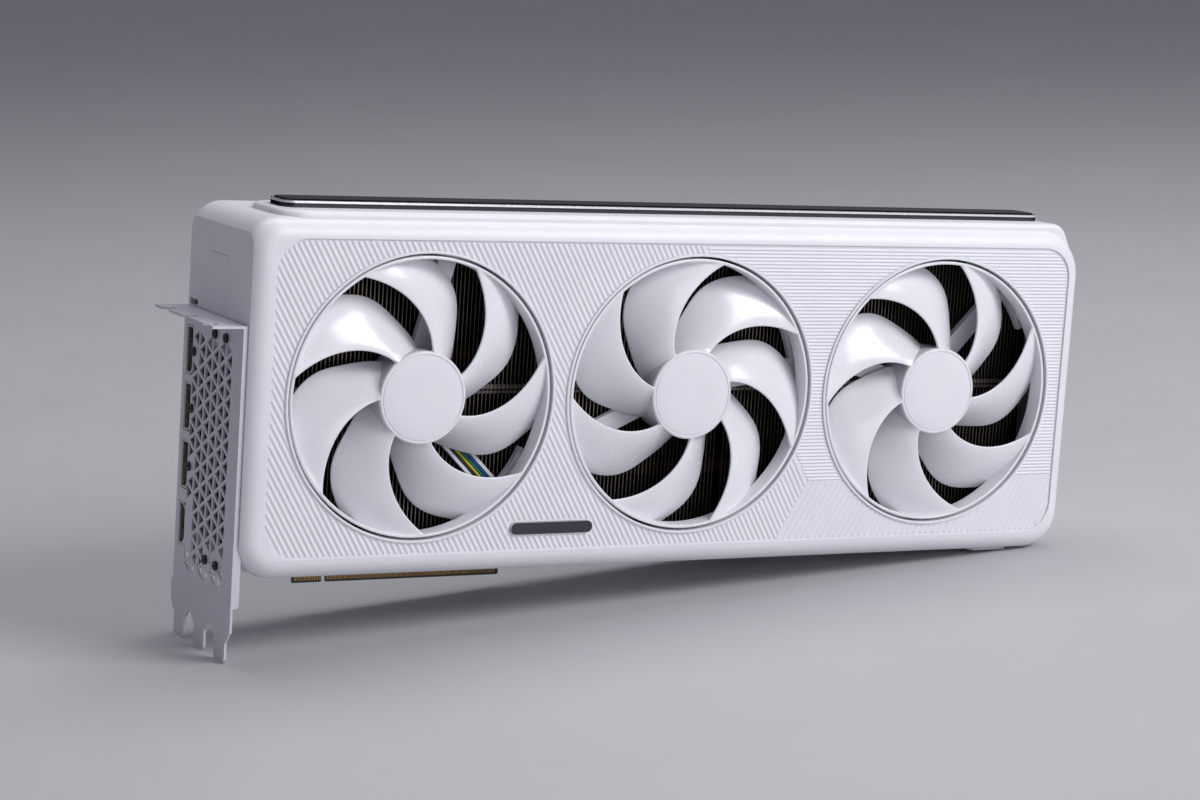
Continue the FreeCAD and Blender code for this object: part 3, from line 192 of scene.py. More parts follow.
def surface(name, color, other, rough, bump=0.02, grain=2600.0, mottle=60.0, metallic=0.0, coat=0.0,
            stretch=(1.0, 1.0, 1.0), sheen=0.0, edge_tint=1.0):
    """Finish whose colour, gloss and surface each vary a little by noise of their own scale."""
    material = bpy.data.materials.new(name)
    material.use_nodes = True
    tree = material.node_tree
    shader = tree.nodes["Principled BSDF"]
    shader.inputs["Metallic"].default_value = metallic
    shader.inputs["Coat Weight"].default_value = coat
    shader.inputs["Coat Roughness"].default_value = COAT_ROUGHNESS
    shader.inputs["Sheen Weight"].default_value = sheen
    shader.inputs["Specular Tint"].default_value = (edge_tint, edge_tint, edge_tint, 1.0)
    patches = noise(tree, mottle, 3.0)
    link(tree, blended(tree, ranged(tree, patches, 0.0, 1.0), color, other), shader.inputs["Base Color"])
    gloss = noise(tree, mottle * GLOSS_PER_MOTTLE, 5.0, stretch)
    link(tree, ranged(tree, gloss, rough[0], rough[1]), shader.inputs["Roughness"])
    relief = tree.nodes.new("ShaderNodeBump")
    relief.inputs["Strength"].default_value = bump
    relief.inputs["Distance"].default_value = RELIEF_DEPTH
    link(tree, noise(tree, grain, 6.0, stretch), relief.inputs["Height"])
    link(tree, relief.outputs["Normal"], shader.inputs["Normal"])
    return material


# Bands of painted copper glint on the fins, from heat pipes behind them: height, half width and centre along
# the card.
PAINTED_GLINT_BANDS = ((91.0, 3.4, 60.0), (48.0, 3.4, 172.0))
PAINTED_GLINT_COLOR = (0.34, 0.22, 0.13)
PAINTED_GLINT_STRENGTH = 0.75
PAINTED_GLINT_CORE = 0.35
PAINTED_GLINT_REACH = (28.0, 48.0)
# Lighter colour of the fins' front edges and how far back it reaches; the sides behind stay near-black as
# painted shade between the fins.
FIN_FRONT_EDGE_COLOR = (0.24, 0.21, 0.17)
FIN_FRONT_EDGE_DEPTH = 0.02


def fins_with_painted_shade_and_glint():
    """Fins painted near-black as shade inside the cooler, with lighter brown-grey front edges, and two bands
    of painted copper glint where heat pipes lie close behind.
    """
    # Near-black fin colour: painted shade of the dark inside of the cooler and the gaps between the fins.
    material = surface("fins", (0.018, 0.016, 0.014), (0.030, 0.026, 0.021), (0.32, 0.5), 0.05,
                       metallic=0.85)
    tree = material.node_tree
    shader = tree.nodes["Principled BSDF"]
    place = tree.nodes.new("ShaderNodeTexCoord")
    split = tree.nodes.new("ShaderNodeSeparateXYZ")
    link(tree, place.outputs["Object"], split.inputs["Vector"])
    mixed = shader.inputs["Base Color"].links[0].from_socket
    # Painted copper glint: the fin colour is tinted copper in each band, fading out along the card.
    for height, half, centre in PAINTED_GLINT_BANDS:
        distance = distance_from(tree, split.outputs["Z"], height)
        fade = ranged(tree, distance, PAINTED_GLINT_STRENGTH, 0.0, half * PAINTED_GLINT_CORE * MM, half * MM)
        reach = distance_from(tree, split.outputs["X"], centre)
        local = ranged(tree, reach, 1.0, 0.0, PAINTED_GLINT_REACH[0] * MM, PAINTED_GLINT_REACH[1] * MM)
        both = math_node(tree, "MULTIPLY", fade)
        link(tree, local, both.inputs[1])
        mixed = tinted(tree, both.outputs[0], mixed, PAINTED_GLINT_COLOR)
    # Front edges lighter than the sides, which carry the painted shade.
    edge = math_node(tree, "LESS_THAN", split.outputs["Y"], (FIN_FRONT + FIN_FRONT_EDGE_DEPTH) * MM)
    link(tree, tinted(tree, edge.outputs[0], mixed, FIN_FRONT_EDGE_COLOR), shader.inputs["Base Color"])
    return material


WHITE = (0.80, 0.80, 0.855)
WHITE_SHADE = (0.775, 0.775, 0.835)

FINISHES = {
    "white_shell": surface("white_shell", WHITE, WHITE_SHADE, (0.36, 0.46), 0.05, coat=0.05),
    "white_blade": surface("white_blade", (0.81, 0.81, 0.86), (0.79, 0.79, 0.84), (0.2, 0.29), 0.01,
                           coat=0.22),
    "white_cap": surface("white_cap", WHITE, WHITE_SHADE, (0.34, 0.42), 0.04),
    "white_frame": surface("white_frame", WHITE, WHITE_SHADE, (0.34, 0.44), 0.03),
    "bracket_steel": surface("bracket_steel", (0.66, 0.66, 0.73), (0.62, 0.62, 0.69), (0.34, 0.46), 0.12,
                             grain=5200.0, metallic=0.25),
    "black_steel": surface("black_steel", (0.012, 0.012, 0.014), (0.02, 0.02, 0.022), (0.3, 0.45), 0.05,
                           metallic=0.6),
    "port_shell": surface("port_shell", (0.86, 0.82, 0.76), (0.76, 0.73, 0.68), (0.24, 0.38), 0.06,
                          metallic=1.0, stretch=(1.0, 9.0, 9.0)),
    "board": surface("board", (0.010, 0.012, 0.013), (0.016, 0.019, 0.018), (0.22, 0.34), 0.06, mottle=420.0),
    # Gold darkened far below bare gold: its hue is the metal's own, its darkness painted shade of the shadow
    # under the card.
    "gold": surface("gold", (0.40, 0.26, 0.11), (0.30, 0.19, 0.08), (0.22, 0.34), 0.04, metallic=1.0),
    "substrate": surface("substrate", (0.02, 0.07, 0.045), (0.03, 0.09, 0.06), (0.4, 0.5), 0.04),
    "silicon": surface("silicon", (0.06, 0.06, 0.09), (0.08, 0.08, 0.12), (0.05, 0.1), 0.01, metallic=0.6),
    "chip_package": surface("chip_package", (0.02, 0.02, 0.022), (0.03, 0.03, 0.032), (0.5, 0.62), 0.1),
    "pad": surface("pad", (0.30, 0.40, 0.48), (0.26, 0.36, 0.44), (0.7, 0.85), 0.15, sheen=0.1),
    "choke": surface("choke", (0.10, 0.10, 0.105), (0.13, 0.13, 0.135), (0.5, 0.66), 0.25),
    "capacitor_can": surface("capacitor_can", (0.66, 0.66, 0.68), (0.6, 0.6, 0.62), (0.2, 0.3), 0.04,
                             metallic=1.0),
    "nylon": surface("nylon", (0.74, 0.73, 0.69), (0.70, 0.69, 0.65), (0.4, 0.5), 0.04),
    "black_nylon": surface("black_nylon", (0.015, 0.015, 0.016), (0.022, 0.022, 0.023), (0.36, 0.5), 0.05),
    "nickel_plate": surface("nickel_plate", (0.62, 0.60, 0.56), (0.56, 0.54, 0.50), (0.22, 0.34), 0.05,
                            metallic=1.0, stretch=(1.0, 1.0, 14.0)),
    "pipe": surface("pipe", (0.72, 0.38, 0.22), (0.60, 0.30, 0.17), (0.22, 0.36), 0.04, metallic=1.0),
    "fins": fins_with_painted_shade_and_glint(),
    "plain_steel": surface("plain_steel", (0.50, 0.50, 0.51), (0.42, 0.42, 0.43), (0.26, 0.4), 0.06,
                           metallic=1.0),
    "magnet": surface("magnet", (0.04, 0.04, 0.043), (0.055, 0.055, 0.058), (0.6, 0.75), 0.12),
    "bearing_brass": surface("bearing_brass", (0.66, 0.44, 0.16), (0.55, 0.36, 0.13), (0.3, 0.45), 0.08,
                             metallic=1.0),
    "core_steel": surface("core_steel", (0.30, 0.30, 0.32), (0.24, 0.24, 0.26), (0.35, 0.5), 0.2,
                          metallic=1.0, stretch=(1.0, 30.0, 1.0)),
    # Chrome trim near-black in colour and at its edges: painted dark reflection.
    "bright_trim": surface("bright_trim", (0.05, 0.052, 0.06), (0.065, 0.067, 0.075), (0.04, 0.09), 0.005,
                           metallic=1.0, edge_tint=0.3),
    # Mirror near-black in colour and at its edges: painted dark reflection.
    "mirror": surface("mirror", (0.03, 0.03, 0.034), (0.036, 0.036, 0.04), (0.02, 0.05), 0.003, metallic=1.0,
                      edge_tint=0.12),
    "badge": surface("badge", (0.035, 0.036, 0.05), (0.05, 0.05, 0.066), (0.34, 0.46), 0.06, metallic=0.5),
    "foot": surface("foot", (0.62, 0.62, 0.66), (0.58, 0.58, 0.62), (0.65, 0.8), 0.12),
    "wire": surface("wire", (0.03, 0.03, 0.035), (0.04, 0.04, 0.045), (0.35, 0.5), 0.04),
}
WIRE_COLORS = {
    "black": ((0.012, 0.012, 0.014), (0.02, 0.02, 0.022)),
    "yellow": ((0.66, 0.55, 0.05), (0.60, 0.50, 0.05)),
    "green": ((0.02, 0.22, 0.10), (0.02, 0.18, 0.085)),
    "blue": ((0.01, 0.10, 0.42), (0.01, 0.085, 0.36)),
}
WIRE_FINISHES = {name: surface("wire_" + name, *pair, (0.34, 0.46), 0.03)
                 for name, pair in WIRE_COLORS.items()}
# Near-white metal: along the top of the strip's bezel it is a painted highlight; round the badge it is the
# badge's light edge.
BADGE_EDGE_AND_PAINTED_HIGHLIGHT = surface("badge_edge_and_painted_highlight", (0.94, 0.94, 0.95), (0.88, 0.88, 0.90), (0.2, 0.3), 0.01, metallic=0.7)
FIN_TAB = surface("fin_tab", (0.46, 0.42, 0.37), (0.34, 0.30, 0.25), (0.25, 0.4), 0.05, metallic=0.9)


def dress_cad_nodes():
    slot_of = {part["node"]: part["material_slot"] for part in frame["record"]["subparts"]}
    for name, node in frame["nodes"].items():
        node.data.materials.clear()
        node.data.materials.append(FINISHES[slot_of[name]])


# ---------------------------------------------------------------- mesh helpers
SHARP_ANGLE = 38


def piece(name, points, faces, material, body="root", smooth=True):
    """Mesh piece from points in millimetres, riding on a body."""
    mesh = bpy.data.meshes.new(name)
    mesh.from_pydata([Vector(p) * MM for p in points], [], faces)
    mesh.validate()
    mesh.update()
    if smooth:
        mesh.shade_smooth()
        mesh.set_sharp_from_angle(angle=math.radians(SHARP_ANGLE))
    mesh.materials.append(material)
    shown = bpy.data.objects.new(name, mesh)
    bpy.context.scene.collection.objects.link(shown)
    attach(shown, body)
    return shown


class Shape:
    """Points and faces of one piece while it is being put together."""

    def __init__(self):
        self.points = []
        self.faces = []

    def add(self, points, faces):
        base = len(self.points)
        self.points += [tuple(p) for p in points]
        self.faces += [tuple(base + i for i in face) for face in faces]

    def block(self, x0, x1, y0, y1, z0, z1):
        corners = [(x, y, z) for x in (x0, x1) for y in (y0, y1) for z in (z0, z1)]
        self.add(corners, [(0, 1, 3, 2), (4, 6, 7, 5), (0, 4, 5, 1),
                           (2, 3, 7, 6), (0, 2, 6, 4), (1, 5, 7, 3)])

    def lathe(self, x, z, profile, steps=192):
        """Closed profile of (radius, y) turned about an axis along Y."""
        rings = []
        for step in range(steps):
            turn = 2 * math.pi * step / steps
            rings.append([(x + r * math.cos(turn), y, z + r * math.sin(turn)) for r, y in profile])
        self.closed_skin(rings)

    def closed_skin(self, rings, flipped=False):
        """Skin through closed rings of points, and on from the last ring to the first."""
        count = len(rings[0])
        faces = []
        for row in range(len(rings)):
            here, there = row * count, (row + 1) % len(rings) * count
            for i in range(count):
                k = (i + 1) % count
                if flipped:
                    faces.append((here + i, here + k, there + k, there + i))
                else:
                    faces.append((here + i, there + i, there + k, here + k))
        self.add([p for ring in rings for p in ring], faces)

    def loft(self, rings):
        """Skin through closed rings of points, with flat ends."""
        count = len(rings[0])
        faces = []
        for row in range(len(rings) - 1):
            here, there = row * count, (row + 1) * count
            for i in range(count):
                k = (i + 1) % count
                faces.append((here + i, here + k, there + k, there + i))
        faces.append(tuple(reversed(range(count))))
        faces.append(tuple((len(rings) - 1) * count + i for i in range(count)))
        self.add([p for ring in rings for p in ring], faces)

    def finish(self, name, material, slot, body="root", smooth=True):
        return piece(name, self.points, self.faces, material, body, smooth)


# ---------------------------------------------------------------- ribbed face
RIB_INSET = 0.7
RIB_SHARE = 0.94
RIB_RISE = 0.5
RIB_STEP = 0.2
RIB_SHORTEST = 1.2
RIB_REACH = 195.0
RIB_SECTION_STEPS = 8
LIP_ROOM = 0.15

# How far a piece's foot is sunk into the face that carries it, and how proud a skin stands of it.
SUNK = 0.02
# Zones of the face: the corner where they meet, and the directions of their borders and ribs.
MEETING = (230.8, 44.6)
BORDER_ANGLE = 60.0
ZONES = {"falling": (120.0, 1.98), "level": (0.0, 1.33), "rising": (60.0, 2.46)}


BADGE_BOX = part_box("badge_plate")
BADGE_ROOM = 0.9
BADGE_CLEAR = (BADGE_BOX[0].x / MM - BADGE_ROOM, BADGE_BOX[1].x / MM + BADGE_ROOM,
               BADGE_BOX[0].z / MM - BADGE_ROOM, BADGE_BOX[1].z / MM + BADGE_ROOM)


def zone_at(x, z):
    slope = math.tan(math.radians(BORDER_ANGLE))
    if z >= MEETING[1]:
        return "level" if x > MEETING[0] - (z - MEETING[1]) / slope else "falling"
    return "rising" if x > MEETING[0] - (MEETING[1] - z) / slope else "falling"


def on_ribbed_face(x, z):
    """True inside the rounded recess and clear of the lands round the openings."""
    x0, x1, z0, z1 = PANEL
    r = PANEL_CORNER
    dx = max(x0 + r - x, x - x1 + r, 0.0)
    dz = max(z0 + r - z, z - z1 + r, 0.0)
    if math.hypot(dx, dz) > r - RIB_INSET or not (x0 < x < x1 and z0 < z < z1):
        return False
    if any(math.hypot(x - fan_x, z - FAN_Z) < OPENING_R + LAND + LIP_ROOM for fan_x in FAN_X):
        return False
    return not (BADGE_CLEAR[0] < x < BADGE_CLEAR[1] and BADGE_CLEAR[2] < z < BADGE_CLEAR[3])


def runs_on_line(origin, along, reach, zone):
    """Stretches of one line that lie on the ribbed face in one zone."""
    runs, start = [], None
    steps = int(2 * reach / RIB_STEP)
    for step in range(steps + 1):
        s = -reach + step * RIB_STEP
        x, z = origin[0] + along[0] * s, origin[1] + along[1] * s
        inside = zone_at(x, z) == zone and on_ribbed_face(x, z)
        if inside and start is None:
            start = s
        if not inside and start is not None:
            runs.append((start, s - RIB_STEP))
            start = None
    return [run for run in runs if run[1] - run[0] > RIB_SHORTEST]


def ribs():
    """Raised ribs of the face, in three zones that run three ways."""
    shape = Shape()
    foot, top = FRONT + PANEL_RECESS + SUNK, FRONT
    centre = ((PANEL[0] + PANEL[1]) / 2, (PANEL[2] + PANEL[3]) / 2)
    for zone, (angle, pitch) in ZONES.items():
        along = (math.cos(math.radians(angle)), math.sin(math.radians(angle)))
        across = (-along[1], along[0])
        section = []
        for step in range(RIB_SECTION_STEPS + 1):
            away = step / RIB_SECTION_STEPS - 0.5
            rise = math.cos(math.pi * away) ** 2
            section.append((away * pitch * RIB_SHARE, foot - (foot - top) * RIB_RISE * rise))
        count = int(RIB_REACH / pitch)
        for number in range(-count, count + 1):
            origin = (centre[0] + across[0] * number * pitch, centre[1] + across[1] * number * pitch)
            for start, end in runs_on_line(origin, along, RIB_REACH, zone):
                rings = []
                for s in (start, end):
                    x, z = origin[0] + along[0] * s, origin[1] + along[1] * s
                    rings.append([(x + across[0] * o, y, z + across[1] * o) for o, y in section])
                shape.loft(rings)
    return shape.finish("face_ribs", FINISHES["white_shell"], "white_shell", smooth=False)


LIP_DEPTH = 0.3
LIP_RISE = 0.1
LIP_SHOULDER = 0.06
LIP_CREST_INSET = 0.26


def opening_lips():
    """Rounded bead on the land round each opening."""
    inner, outer = OPENING_R + SUNK, OPENING_R + LAND - LIP_RISE
    back, edge, shoulder, crest = FRONT + LIP_DEPTH, FRONT + SUNK, FRONT - LIP_SHOULDER, FRONT - LIP_RISE
    profile = [(inner, back), (inner, edge), (inner + LIP_RISE, shoulder), (inner + LIP_CREST_INSET, crest),
               (outer - LIP_CREST_INSET, crest), (outer - LIP_RISE, shoulder), (outer, edge), (outer, back)]
    for name, index, _, _, _ in FANS:
        shape = Shape()
        shape.lathe(FAN_X[index], FAN_Z, profile, 256)
        shape.finish("opening_lip_" + name, FINISHES["white_shell"], "white_shell")


# ---------------------------------------------------------------- fans
def blade_edges(s):
    """Angles of the leading and trailing edges, from the hub (0) to the ring (1)."""
    s = max(s, 0.0)
    lead = LEAD_SWEEP * s ** LEAD_CURVE
    trail = TRAIL_ROOT + (TRAIL_TIP - TRAIL_ROOT) * s + TRAIL_BOW * math.sin(2 * math.pi * s)
    return lead, trail


def blade_middle(radius, t):
    s = (radius - HUB_R) / (RING_INNER - HUB_R)
    lead, trail = blade_edges(s)
    turn = math.radians(lead + (trail - lead) * t)
    y = BLADE_FRONT + (BLADE_BACK - BLADE_FRONT) * t ** BLADE_CAMBER
    return Vector((radius * math.cos(turn), y, radius * math.sin(turn)))


# Places along the chord where a blade is cut, closer together at its two round edges.
NOSE = 0.022
CHORD_STATIONS = ([0.0, 0.004, 0.012, 0.022] + [0.04 + 0.92 * i / 22 for i in range(23)]
                  + [0.978, 0.988, 0.996, 1.0])
EDGE_SHARE = 0.72

# Swelling at the hub and at the ring: how much, and over what distance it dies away.
HUB_FILLET = (1.3, 0.8)
RING_FILLET = (0.9, 0.7)


def blade_half(radius, t):
    """Half thickness: round at both edges, and swelling into a fillet at the hub and the ring."""
    nose = min(t, 1 - t)
    body = BLADE_HALF * (EDGE_SHARE + 0.28 * math.sin(math.pi * t))
    if nose < NOSE:
        body *= math.sqrt(max(0.0, 1 - (1 - nose / NOSE) ** 2))
    hub = HUB_FILLET[0] * math.exp(-(radius - HUB_R) / HUB_FILLET[1])
    ring = RING_FILLET[0] * math.exp(-(RING_INNER - radius) / RING_FILLET[1])
    return body * (1 + hub + ring)


ROOT_LAP = 0.6
TIP_LAP = 0.5
ROOT_STEP = 0.45
TIP_ZONE = 3.0


def blade_rings():
    """Closed sections of one blade from inside the hub's wall to inside the ring."""
    root, tip = HUB_R - ROOT_LAP, RING_INNER + TIP_LAP
    radii = [root + ROOT_STEP * i for i in range(6)]
    radii += [radii[-1] + (tip - TIP_ZONE - radii[-1]) * i / 18 for i in range(1, 19)]
    radii += [tip - TIP_ZONE + TIP_ZONE * i / 6 for i in range(1, 7)]
    rings = []
    for radius in radii:
        front, back = [], []
        for t in CHORD_STATIONS:
            point = blade_middle(radius, t)
            along = blade_middle(radius, min(t + 0.02, 1.0)) - blade_middle(radius, max(t - 0.02, 0.0))
            out = blade_middle(radius + 0.3, t) - blade_middle(radius - 0.3, t)
            normal = along.cross(out).normalized()
            half = blade_half(min(max(radius, HUB_R), RING_INNER), t)
            front.append(point + normal * half)
            back.append(point - normal * half)
        rings.append(front + back[-2:0:-1])
    return rings


BOSS_WALL = 1.4
BOSS_DEPTH = 1.6


def rotor_shape(sweep, phase, x):
    """Hub cup, seven blades and the ring, at their resting angle."""
    shape = Shape()
    for number in range(BLADE_COUNT):
        turn = math.radians(phase + number * 360.0 / BLADE_COUNT)
        c, s = math.cos(turn), math.sin(turn)
        rings = []
        for ring in BLADE_RINGS:
            placed = [(x + sweep * (p.x * c - p.z * s), p.y, FAN_Z + p.x * s + p.z * c) for p in ring]
            rings.append(placed if sweep > 0 else placed[::-1])
        shape.loft(rings)
    band = [(RING_INNER, RING_BACK + 0.3), (RING_INNER, RING_FRONT + 0.5),
            (RING_INNER + 0.12, RING_FRONT + 0.14), (RING_INNER + 0.4, RING_FRONT),
            (RING_OUTER - 0.4, RING_FRONT), (RING_OUTER - 0.12, RING_FRONT + 0.14),
            (RING_OUTER, RING_FRONT + 0.5), (RING_OUTER, RING_BACK + 0.3),
            (RING_OUTER - 0.3, RING_BACK), (RING_INNER + 0.3, RING_BACK)]
    shape.lathe(x, FAN_Z, band, 224)
    inner, boss = HUB_R - HUB_WALL, SHAFT_R + BOSS_WALL
    roof = CAP_BACK + HUB_WALL
    cup = [(SHAFT_R, CAP_BACK), (HUB_R - 0.1, CAP_BACK), (HUB_R, CAP_BACK + 0.1), (HUB_R, HUB_BACK - 0.3),
           (HUB_R - 0.3, HUB_BACK), (inner, HUB_BACK), (inner, roof), (boss, roof),
           (boss, roof + BOSS_DEPTH), (SHAFT_R, roof + BOSS_DEPTH)]
    shape.lathe(x, FAN_Z, cup, 128)
    return shape


BLADE_RINGS = blade_rings()


def hub_cap(x):
    """Bare cap: a flat face inside a shallow groove and a rounded rim."""
    edge, groove = HUB_R, CAP_FRONT + 0.34
    profile = [(0.0, CAP_BACK), (0.0, CAP_FRONT + 0.06), (9.0, CAP_FRONT + 0.05),
               (edge - 1.75, CAP_FRONT + 0.03), (edge - 1.58, CAP_FRONT + 0.08), (edge - 1.5, groove),
               (edge - 1.25, groove), (edge - 1.14, CAP_FRONT + 0.06), (edge - 0.8, CAP_FRONT),
               (edge - 0.42, CAP_FRONT + 0.12), (edge - 0.14, CAP_FRONT + 0.4), (edge, CAP_FRONT + 0.8),
               (edge, CAP_BACK + 0.02)]
    shape = Shape()
    shape.lathe(x, FAN_Z, profile, 160)
    return shape


def wire(name, points, material, radius):
    """One insulated wire on a smooth line."""
    data = bpy.data.curves.new(name, "CURVE")
    data.dimensions = "3D"
    data.bevel_depth = radius * MM
    data.bevel_resolution = 3
    data.resolution_u = 8
    data.use_fill_caps = True
    line = data.splines.new("NURBS")
    line.points.add(len(points) - 1)
    for control, point in zip(line.points, points):
        control.co = (*(c * MM for c in point), 1.0)
    line.order_u = 3
    line.use_endpoint_u = True
    data.materials.append(material)
    shown = bpy.data.objects.new(name, data)
    bpy.context.scene.collection.objects.link(shown)
    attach(shown, "root")
    return shown


WIRE_R = 0.5
WIRE_SPACING = 1.08
WIRE_SUNK = 0.75
WIRE_RADII = (STRUT_START_R, 22.0, 32.0, 42.0, STRUT_END_R - 4.0)


def fan_wires(name, index, degrees):
    """Four wires side by side in the strut, then in a square bundle down to the board."""
    turn = math.radians(degrees)
    out = (math.cos(turn), math.sin(turn))
    side = (-out[1], out[0])
    y = FRAME_BACK - WIRE_SUNK if index in REAR_LEADS else FRAME_FRONT + WIRE_SUNK
    bundle = ((-WIRE_R, -WIRE_R), (-WIRE_R, WIRE_R), (WIRE_R, -WIRE_R), (WIRE_R, WIRE_R))
    strut_end = (FAN_X[index] + out[0] * STRUT_END_R, y, FAN_Z + out[1] * STRUT_END_R)
    for number, color in enumerate(WIRE_FINISHES):
        across = (number - 1.5) * WIRE_SPACING
        points = []
        for radius in WIRE_RADII:
            points.append((FAN_X[index] + out[0] * radius + side[0] * across, y,
                           FAN_Z + out[1] * radius + side[1] * across))
        u, v = bundle[number]
        for x, route_y, z in (strut_end,) + LEAD_ROUTES[index]:
            points.append((x + u, route_y, z + v))
        wire("fan_%s_wire_%s" % (name, color), points, WIRE_FINISHES[color], WIRE_R)
    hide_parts("fan_%s_lead" % name)


def fans():
    for name, index, sweep, phase, strut in FANS:
        body = "fan_" + name
        rotor = rotor_shape(sweep, phase, FAN_X[index]).finish(
            body + "_blades", FINISHES["white_blade"], "white_blade", body)
        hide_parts(body + "_rotor")
        cap = hub_cap(FAN_X[index]).finish(
            body + "_hub_cap", FINISHES["white_cap"], "white_cap", body)
        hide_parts(body + "_cap")
        fan_wires(name, index, strut)


# ---------------------------------------------------------------- cooler details
TAB_ROW_Z = 79.6

# Height of each row's middle and its half height.
TAB_ROWS = ((TAB_ROW_Z, 0.8), (TAB_ROW_Z - 1.9, 0.45))
TAB_GAP = 0.25
TAB_FRONT = FIN_FRONT + 0.05
TAB_BACK = FIN_FRONT + 0.55


def fin_tabs():
    """Folded tabs that lock each fin to the next, in two rows along the front."""
    shape = Shape()
    for left, right in FIN_SPANS:
        count = int((right - left - FIN_THICK) / FIN_PITCH)
        for number in range(count):
            x = left + number * FIN_PITCH + FIN_THICK
            for z, height in TAB_ROWS:
                shape.block(x - SUNK, x + FIN_PITCH - FIN_THICK - TAB_GAP, TAB_FRONT, TAB_BACK,
                            z - height, z + height)
    return shape.finish("fin_tabs", FIN_TAB, "fins", smooth=False)


# ---------------------------------------------------------------- sockets
# Opening's height, front and rear of the tongue, its share of the height, depth, contacts.
WIDE_SOCKET = (17.2, -3.3, -1.86, 0.735, 8.0, 10)
SMALL_SOCKET = (15.4, -3.25, -1.9, 0.7, 7.6, 9)
SOCKETS = {"displayport_1": WIDE_SOCKET, "displayport_2": WIDE_SOCKET, "displayport_3": WIDE_SOCKET,
           "hdmi_port": SMALL_SOCKET}
TONGUE_START = 1.8
SOCKET_FLOOR = 0.6
CONTACT_START = 2.3
CONTACT_HALF = 0.22
CONTACT_ROW_SHARE = 1.75


def socket_inserts():
    """Black insulators and gold contacts inside the display sockets."""
    insulators, contacts = Shape(), Shape()
    for node, (height, near, far, share, depth, count) in SOCKETS.items():
        low, high = (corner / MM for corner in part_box(node))
        centre = (low.z + high.z) / 2
        half = height / 2
        reach = half * share
        insulators.block(TONGUE_START, depth, near, far, centre - reach, centre + reach)
        insulators.block(depth - SOCKET_FLOOR, depth, -5.2, -0.5, centre - half + 1.9, centre + half - 0.5)
        for number in range(count):
            z = centre + (number - (count - 1) / 2) * reach * CONTACT_ROW_SHARE / count
            contacts.block(CONTACT_START, depth - 0.7, near - 0.06, near + 0.1,
                           z - CONTACT_HALF, z + CONTACT_HALF)
    insulators.finish("socket_insulators", FINISHES["black_nylon"], "black_nylon", smooth=False)
    contacts.finish("socket_contacts", FINISHES["gold"], "gold", smooth=False)


PIN_COLUMNS = 6
PIN_HALF = 0.35
PIN_SIDE_ROOM = 1.1
PIN_FACE_ROOM = 2.9


def power_pins():
    """Two rows of pins inside the power socket."""
    low, high = (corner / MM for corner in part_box("power_socket"))
    shape = Shape()
    pitch = (high.x - low.x - 2 * PIN_SIDE_ROOM) / PIN_COLUMNS
    for column in range(PIN_COLUMNS):
        x = low.x + PIN_SIDE_ROOM + pitch * (column + 0.5)
        for y in (low.y + PIN_FACE_ROOM, high.y - PIN_FACE_ROOM):
            shape.block(x - PIN_HALF, x + PIN_HALF, y - PIN_HALF, y + PIN_HALF, low.z + 2.8, high.z - 2.5)
    shape.finish("power_pins", FINISHES["gold"], "gold", smooth=False)


# ---------------------------------------------------------------- trim
def rounded_loop(x0, x1, y0, y1, radius, arc_steps=8):
    """Corners of a rounded rectangle seen from above."""
    loop = []
    for cx, cy, start in ((x1 - radius, y1 - radius, 0), (x0 + radius, y1 - radius, 90),
                          (x0 + radius, y0 + radius, 180), (x1 - radius, y0 + radius, 270)):
        for step in range(arc_steps + 1):
            turn = math.radians(start + 90.0 * step / arc_steps)
            loop.append((cx + radius * math.cos(turn), cy + radius * math.sin(turn)))
    return loop


def strip_rim():
    """Polished edge along the top of the strip's bezel, coloured near white as a painted highlight."""
    low, high = (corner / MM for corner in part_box("strip_bezel"))
    radius, wall = 5.0, 1.0
    loops = []
    for inset, z in ((-0.04, high.z - 0.85), (-0.04, high.z - 0.12), (0.06, high.z - 0.02),
                     (wall - 0.12, high.z + 0.02), (wall - 0.05, high.z - 0.4)):
        loop = rounded_loop(low.x + inset, high.x - inset, low.y + inset, high.y - inset, radius - inset)
        loops.append([(x, y, z) for x, y in loop])
    shape = Shape()
    shape.closed_skin(loops, flipped=True)
    return shape.finish("strip_rim", BADGE_EDGE_AND_PAINTED_HIGHLIGHT, "bright_trim")


PARTING_WIDTH = 0.4
PARTING_SHIFT = 0.13


def parting_edge():
    """Fine bright edge along the stepped joint line on the bracket end."""
    shape = Shape()
    line, step, wide = PARTING_Y, STEP_Y, PARTING_WIDTH
    for y0, y1, z0, z1 in ((line - wide, line, STEP_Z, PARTING_TOP_Z), (step, line, STEP_Z - wide, STEP_Z),
                           (step - wide, step, STEP_LOW_Z, STEP_Z)):
        shape.block(END_FACE_X - 0.12, END_FACE_X + 0.1, y0 - PARTING_SHIFT, y1 - PARTING_SHIFT, z0, z1)
    return shape.finish("parting_edge", FINISHES["white_cap"], "white_shell", smooth=False)


BADGE_ROUND = 0.49


def badge_rim():
    """Light raised edge round the badge."""
    low, high = (corner / MM for corner in BADGE_BOX)
    radius = (high.z - low.z) * BADGE_ROUND
    crest, shoulder, back = FRONT - 0.345, FRONT - 0.2, FRONT + 0.5
    loops = []
    for inset, y in ((-SUNK, back), (-SUNK, shoulder), (0.1, crest), (0.36, crest),
                     (0.45, shoulder), (0.45, back)):
        loop = rounded_loop(low.x + inset, high.x - inset, low.z + inset, high.z - inset, radius - inset)
        loops.append([(x, y, z) for x, z in loop])
    shape = Shape()
    shape.closed_skin(loops)
    return shape.finish("badge_rim", BADGE_EDGE_AND_PAINTED_HIGHLIGHT, "badge")


# ---------------------------------------------------------------- stage
CAMERA_AT = (-385.2, -1021.8, 241.7)
CAMERA_HEADING = 28.51
CAMERA_PITCH = -8.53
CAMERA_ROLL = 3.8
CAMERA_LENS = 91.3
CAMERA_SENSOR = 36.0
CAMERA_CLIP = (0.05, 60.0)
FLOOR_HALF = 9000.0
FLOOR_CENTRE_X = 170.0


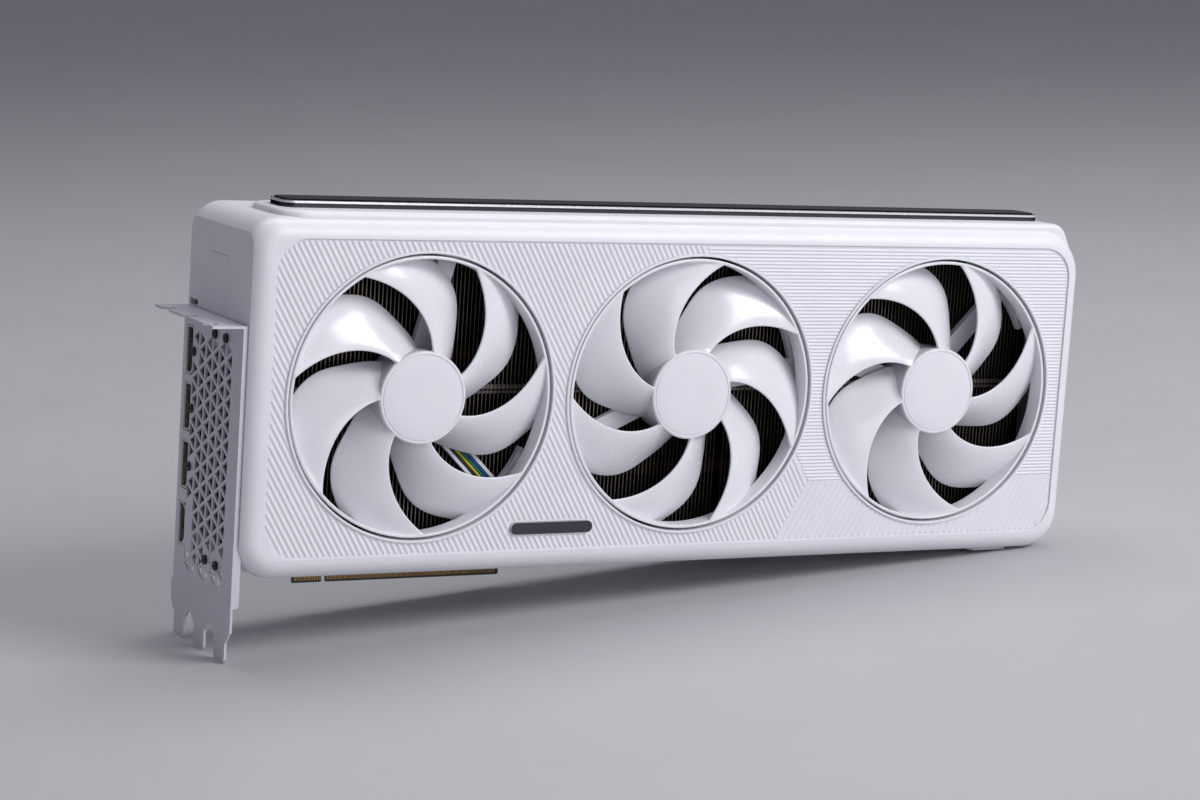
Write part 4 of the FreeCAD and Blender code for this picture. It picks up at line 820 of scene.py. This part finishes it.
def camera():
    data = bpy.data.cameras.new("camera")
    data.sensor_width = CAMERA_SENSOR
    data.lens = CAMERA_LENS
    data.clip_start, data.clip_end = CAMERA_CLIP
    shown = bpy.data.objects.new("camera", data)
    bpy.context.scene.collection.objects.link(shown)
    turn = (Matrix.Rotation(math.radians(-CAMERA_HEADING), 4, "Z") @
            Matrix.Rotation(math.radians(90.0 + CAMERA_PITCH), 4, "X") @
            Matrix.Rotation(math.radians(CAMERA_ROLL), 4, "Z"))
    shown.matrix_world = Matrix.Translation(Vector(CAMERA_AT) * MM) @ turn
    bpy.context.scene.camera = shown


def floor():
    half = FLOOR_HALF
    points = []
    for x, y in ((-half, -half), (half, -half), (half, half), (-half, half)):
        along = FLOOR_CENTRE_X + x
        points.append((along, y, FLOOR_AT_BRACKET + FLOOR_SLOPE * along))
    mesh = bpy.data.meshes.new("floor")
    mesh.from_pydata([Vector(p) * MM for p in points], [], [(0, 1, 2, 3)])
    mesh.materials.append(surface("floor", (0.52, 0.52, 0.54), (0.50, 0.50, 0.52), (0.55, 0.68), 0.05,
                                  grain=900.0, mottle=6.0))
    shown = bpy.data.objects.new("floor", mesh)
    bpy.context.scene.collection.objects.link(shown)


def soft_light(name, place, target, size, power, color=(1.0, 1.0, 1.0)):
    data = bpy.data.lights.new(name, "AREA")
    data.shape = "RECTANGLE"
    data.size, data.size_y = size
    data.energy = power
    data.color = color
    shown = bpy.data.objects.new(name, data)
    bpy.context.scene.collection.objects.link(shown)
    shown.location = Vector(place)
    shown.rotation_euler = (Vector(target) - Vector(place)).to_track_quat("-Z", "Y").to_euler()


def studio():
    world = bpy.data.worlds.new("studio")
    bpy.context.scene.world = world
    world.use_nodes = True
    backdrop = world.node_tree.nodes["Background"]
    backdrop.inputs["Color"].default_value = (0.57, 0.59, 0.67, 1.0)
    backdrop.inputs["Strength"].default_value = 0.34
    middle = (0.17, -0.02, 0.07)
    soft_light("key", (1.0, -1.3, 1.3), middle, (1.1, 0.9), 25.0)
    soft_light("top", (0.3, 0.4, 1.6), middle, (1.5, 0.8), 11.0)
    soft_light("front", (0.3, -1.9, 0.4), middle, (1.0, 0.7), 5.0, (0.94, 0.95, 1.0))
    view = bpy.context.scene.view_settings
    view.view_transform = "Standard"
    view.look = "None"


camera()
floor()
studio()
dress_cad_nodes()
ribs()
opening_lips()
fans()
fin_tabs()
socket_inserts()
power_pins()
strip_rim()
parting_edge()
badge_rim()
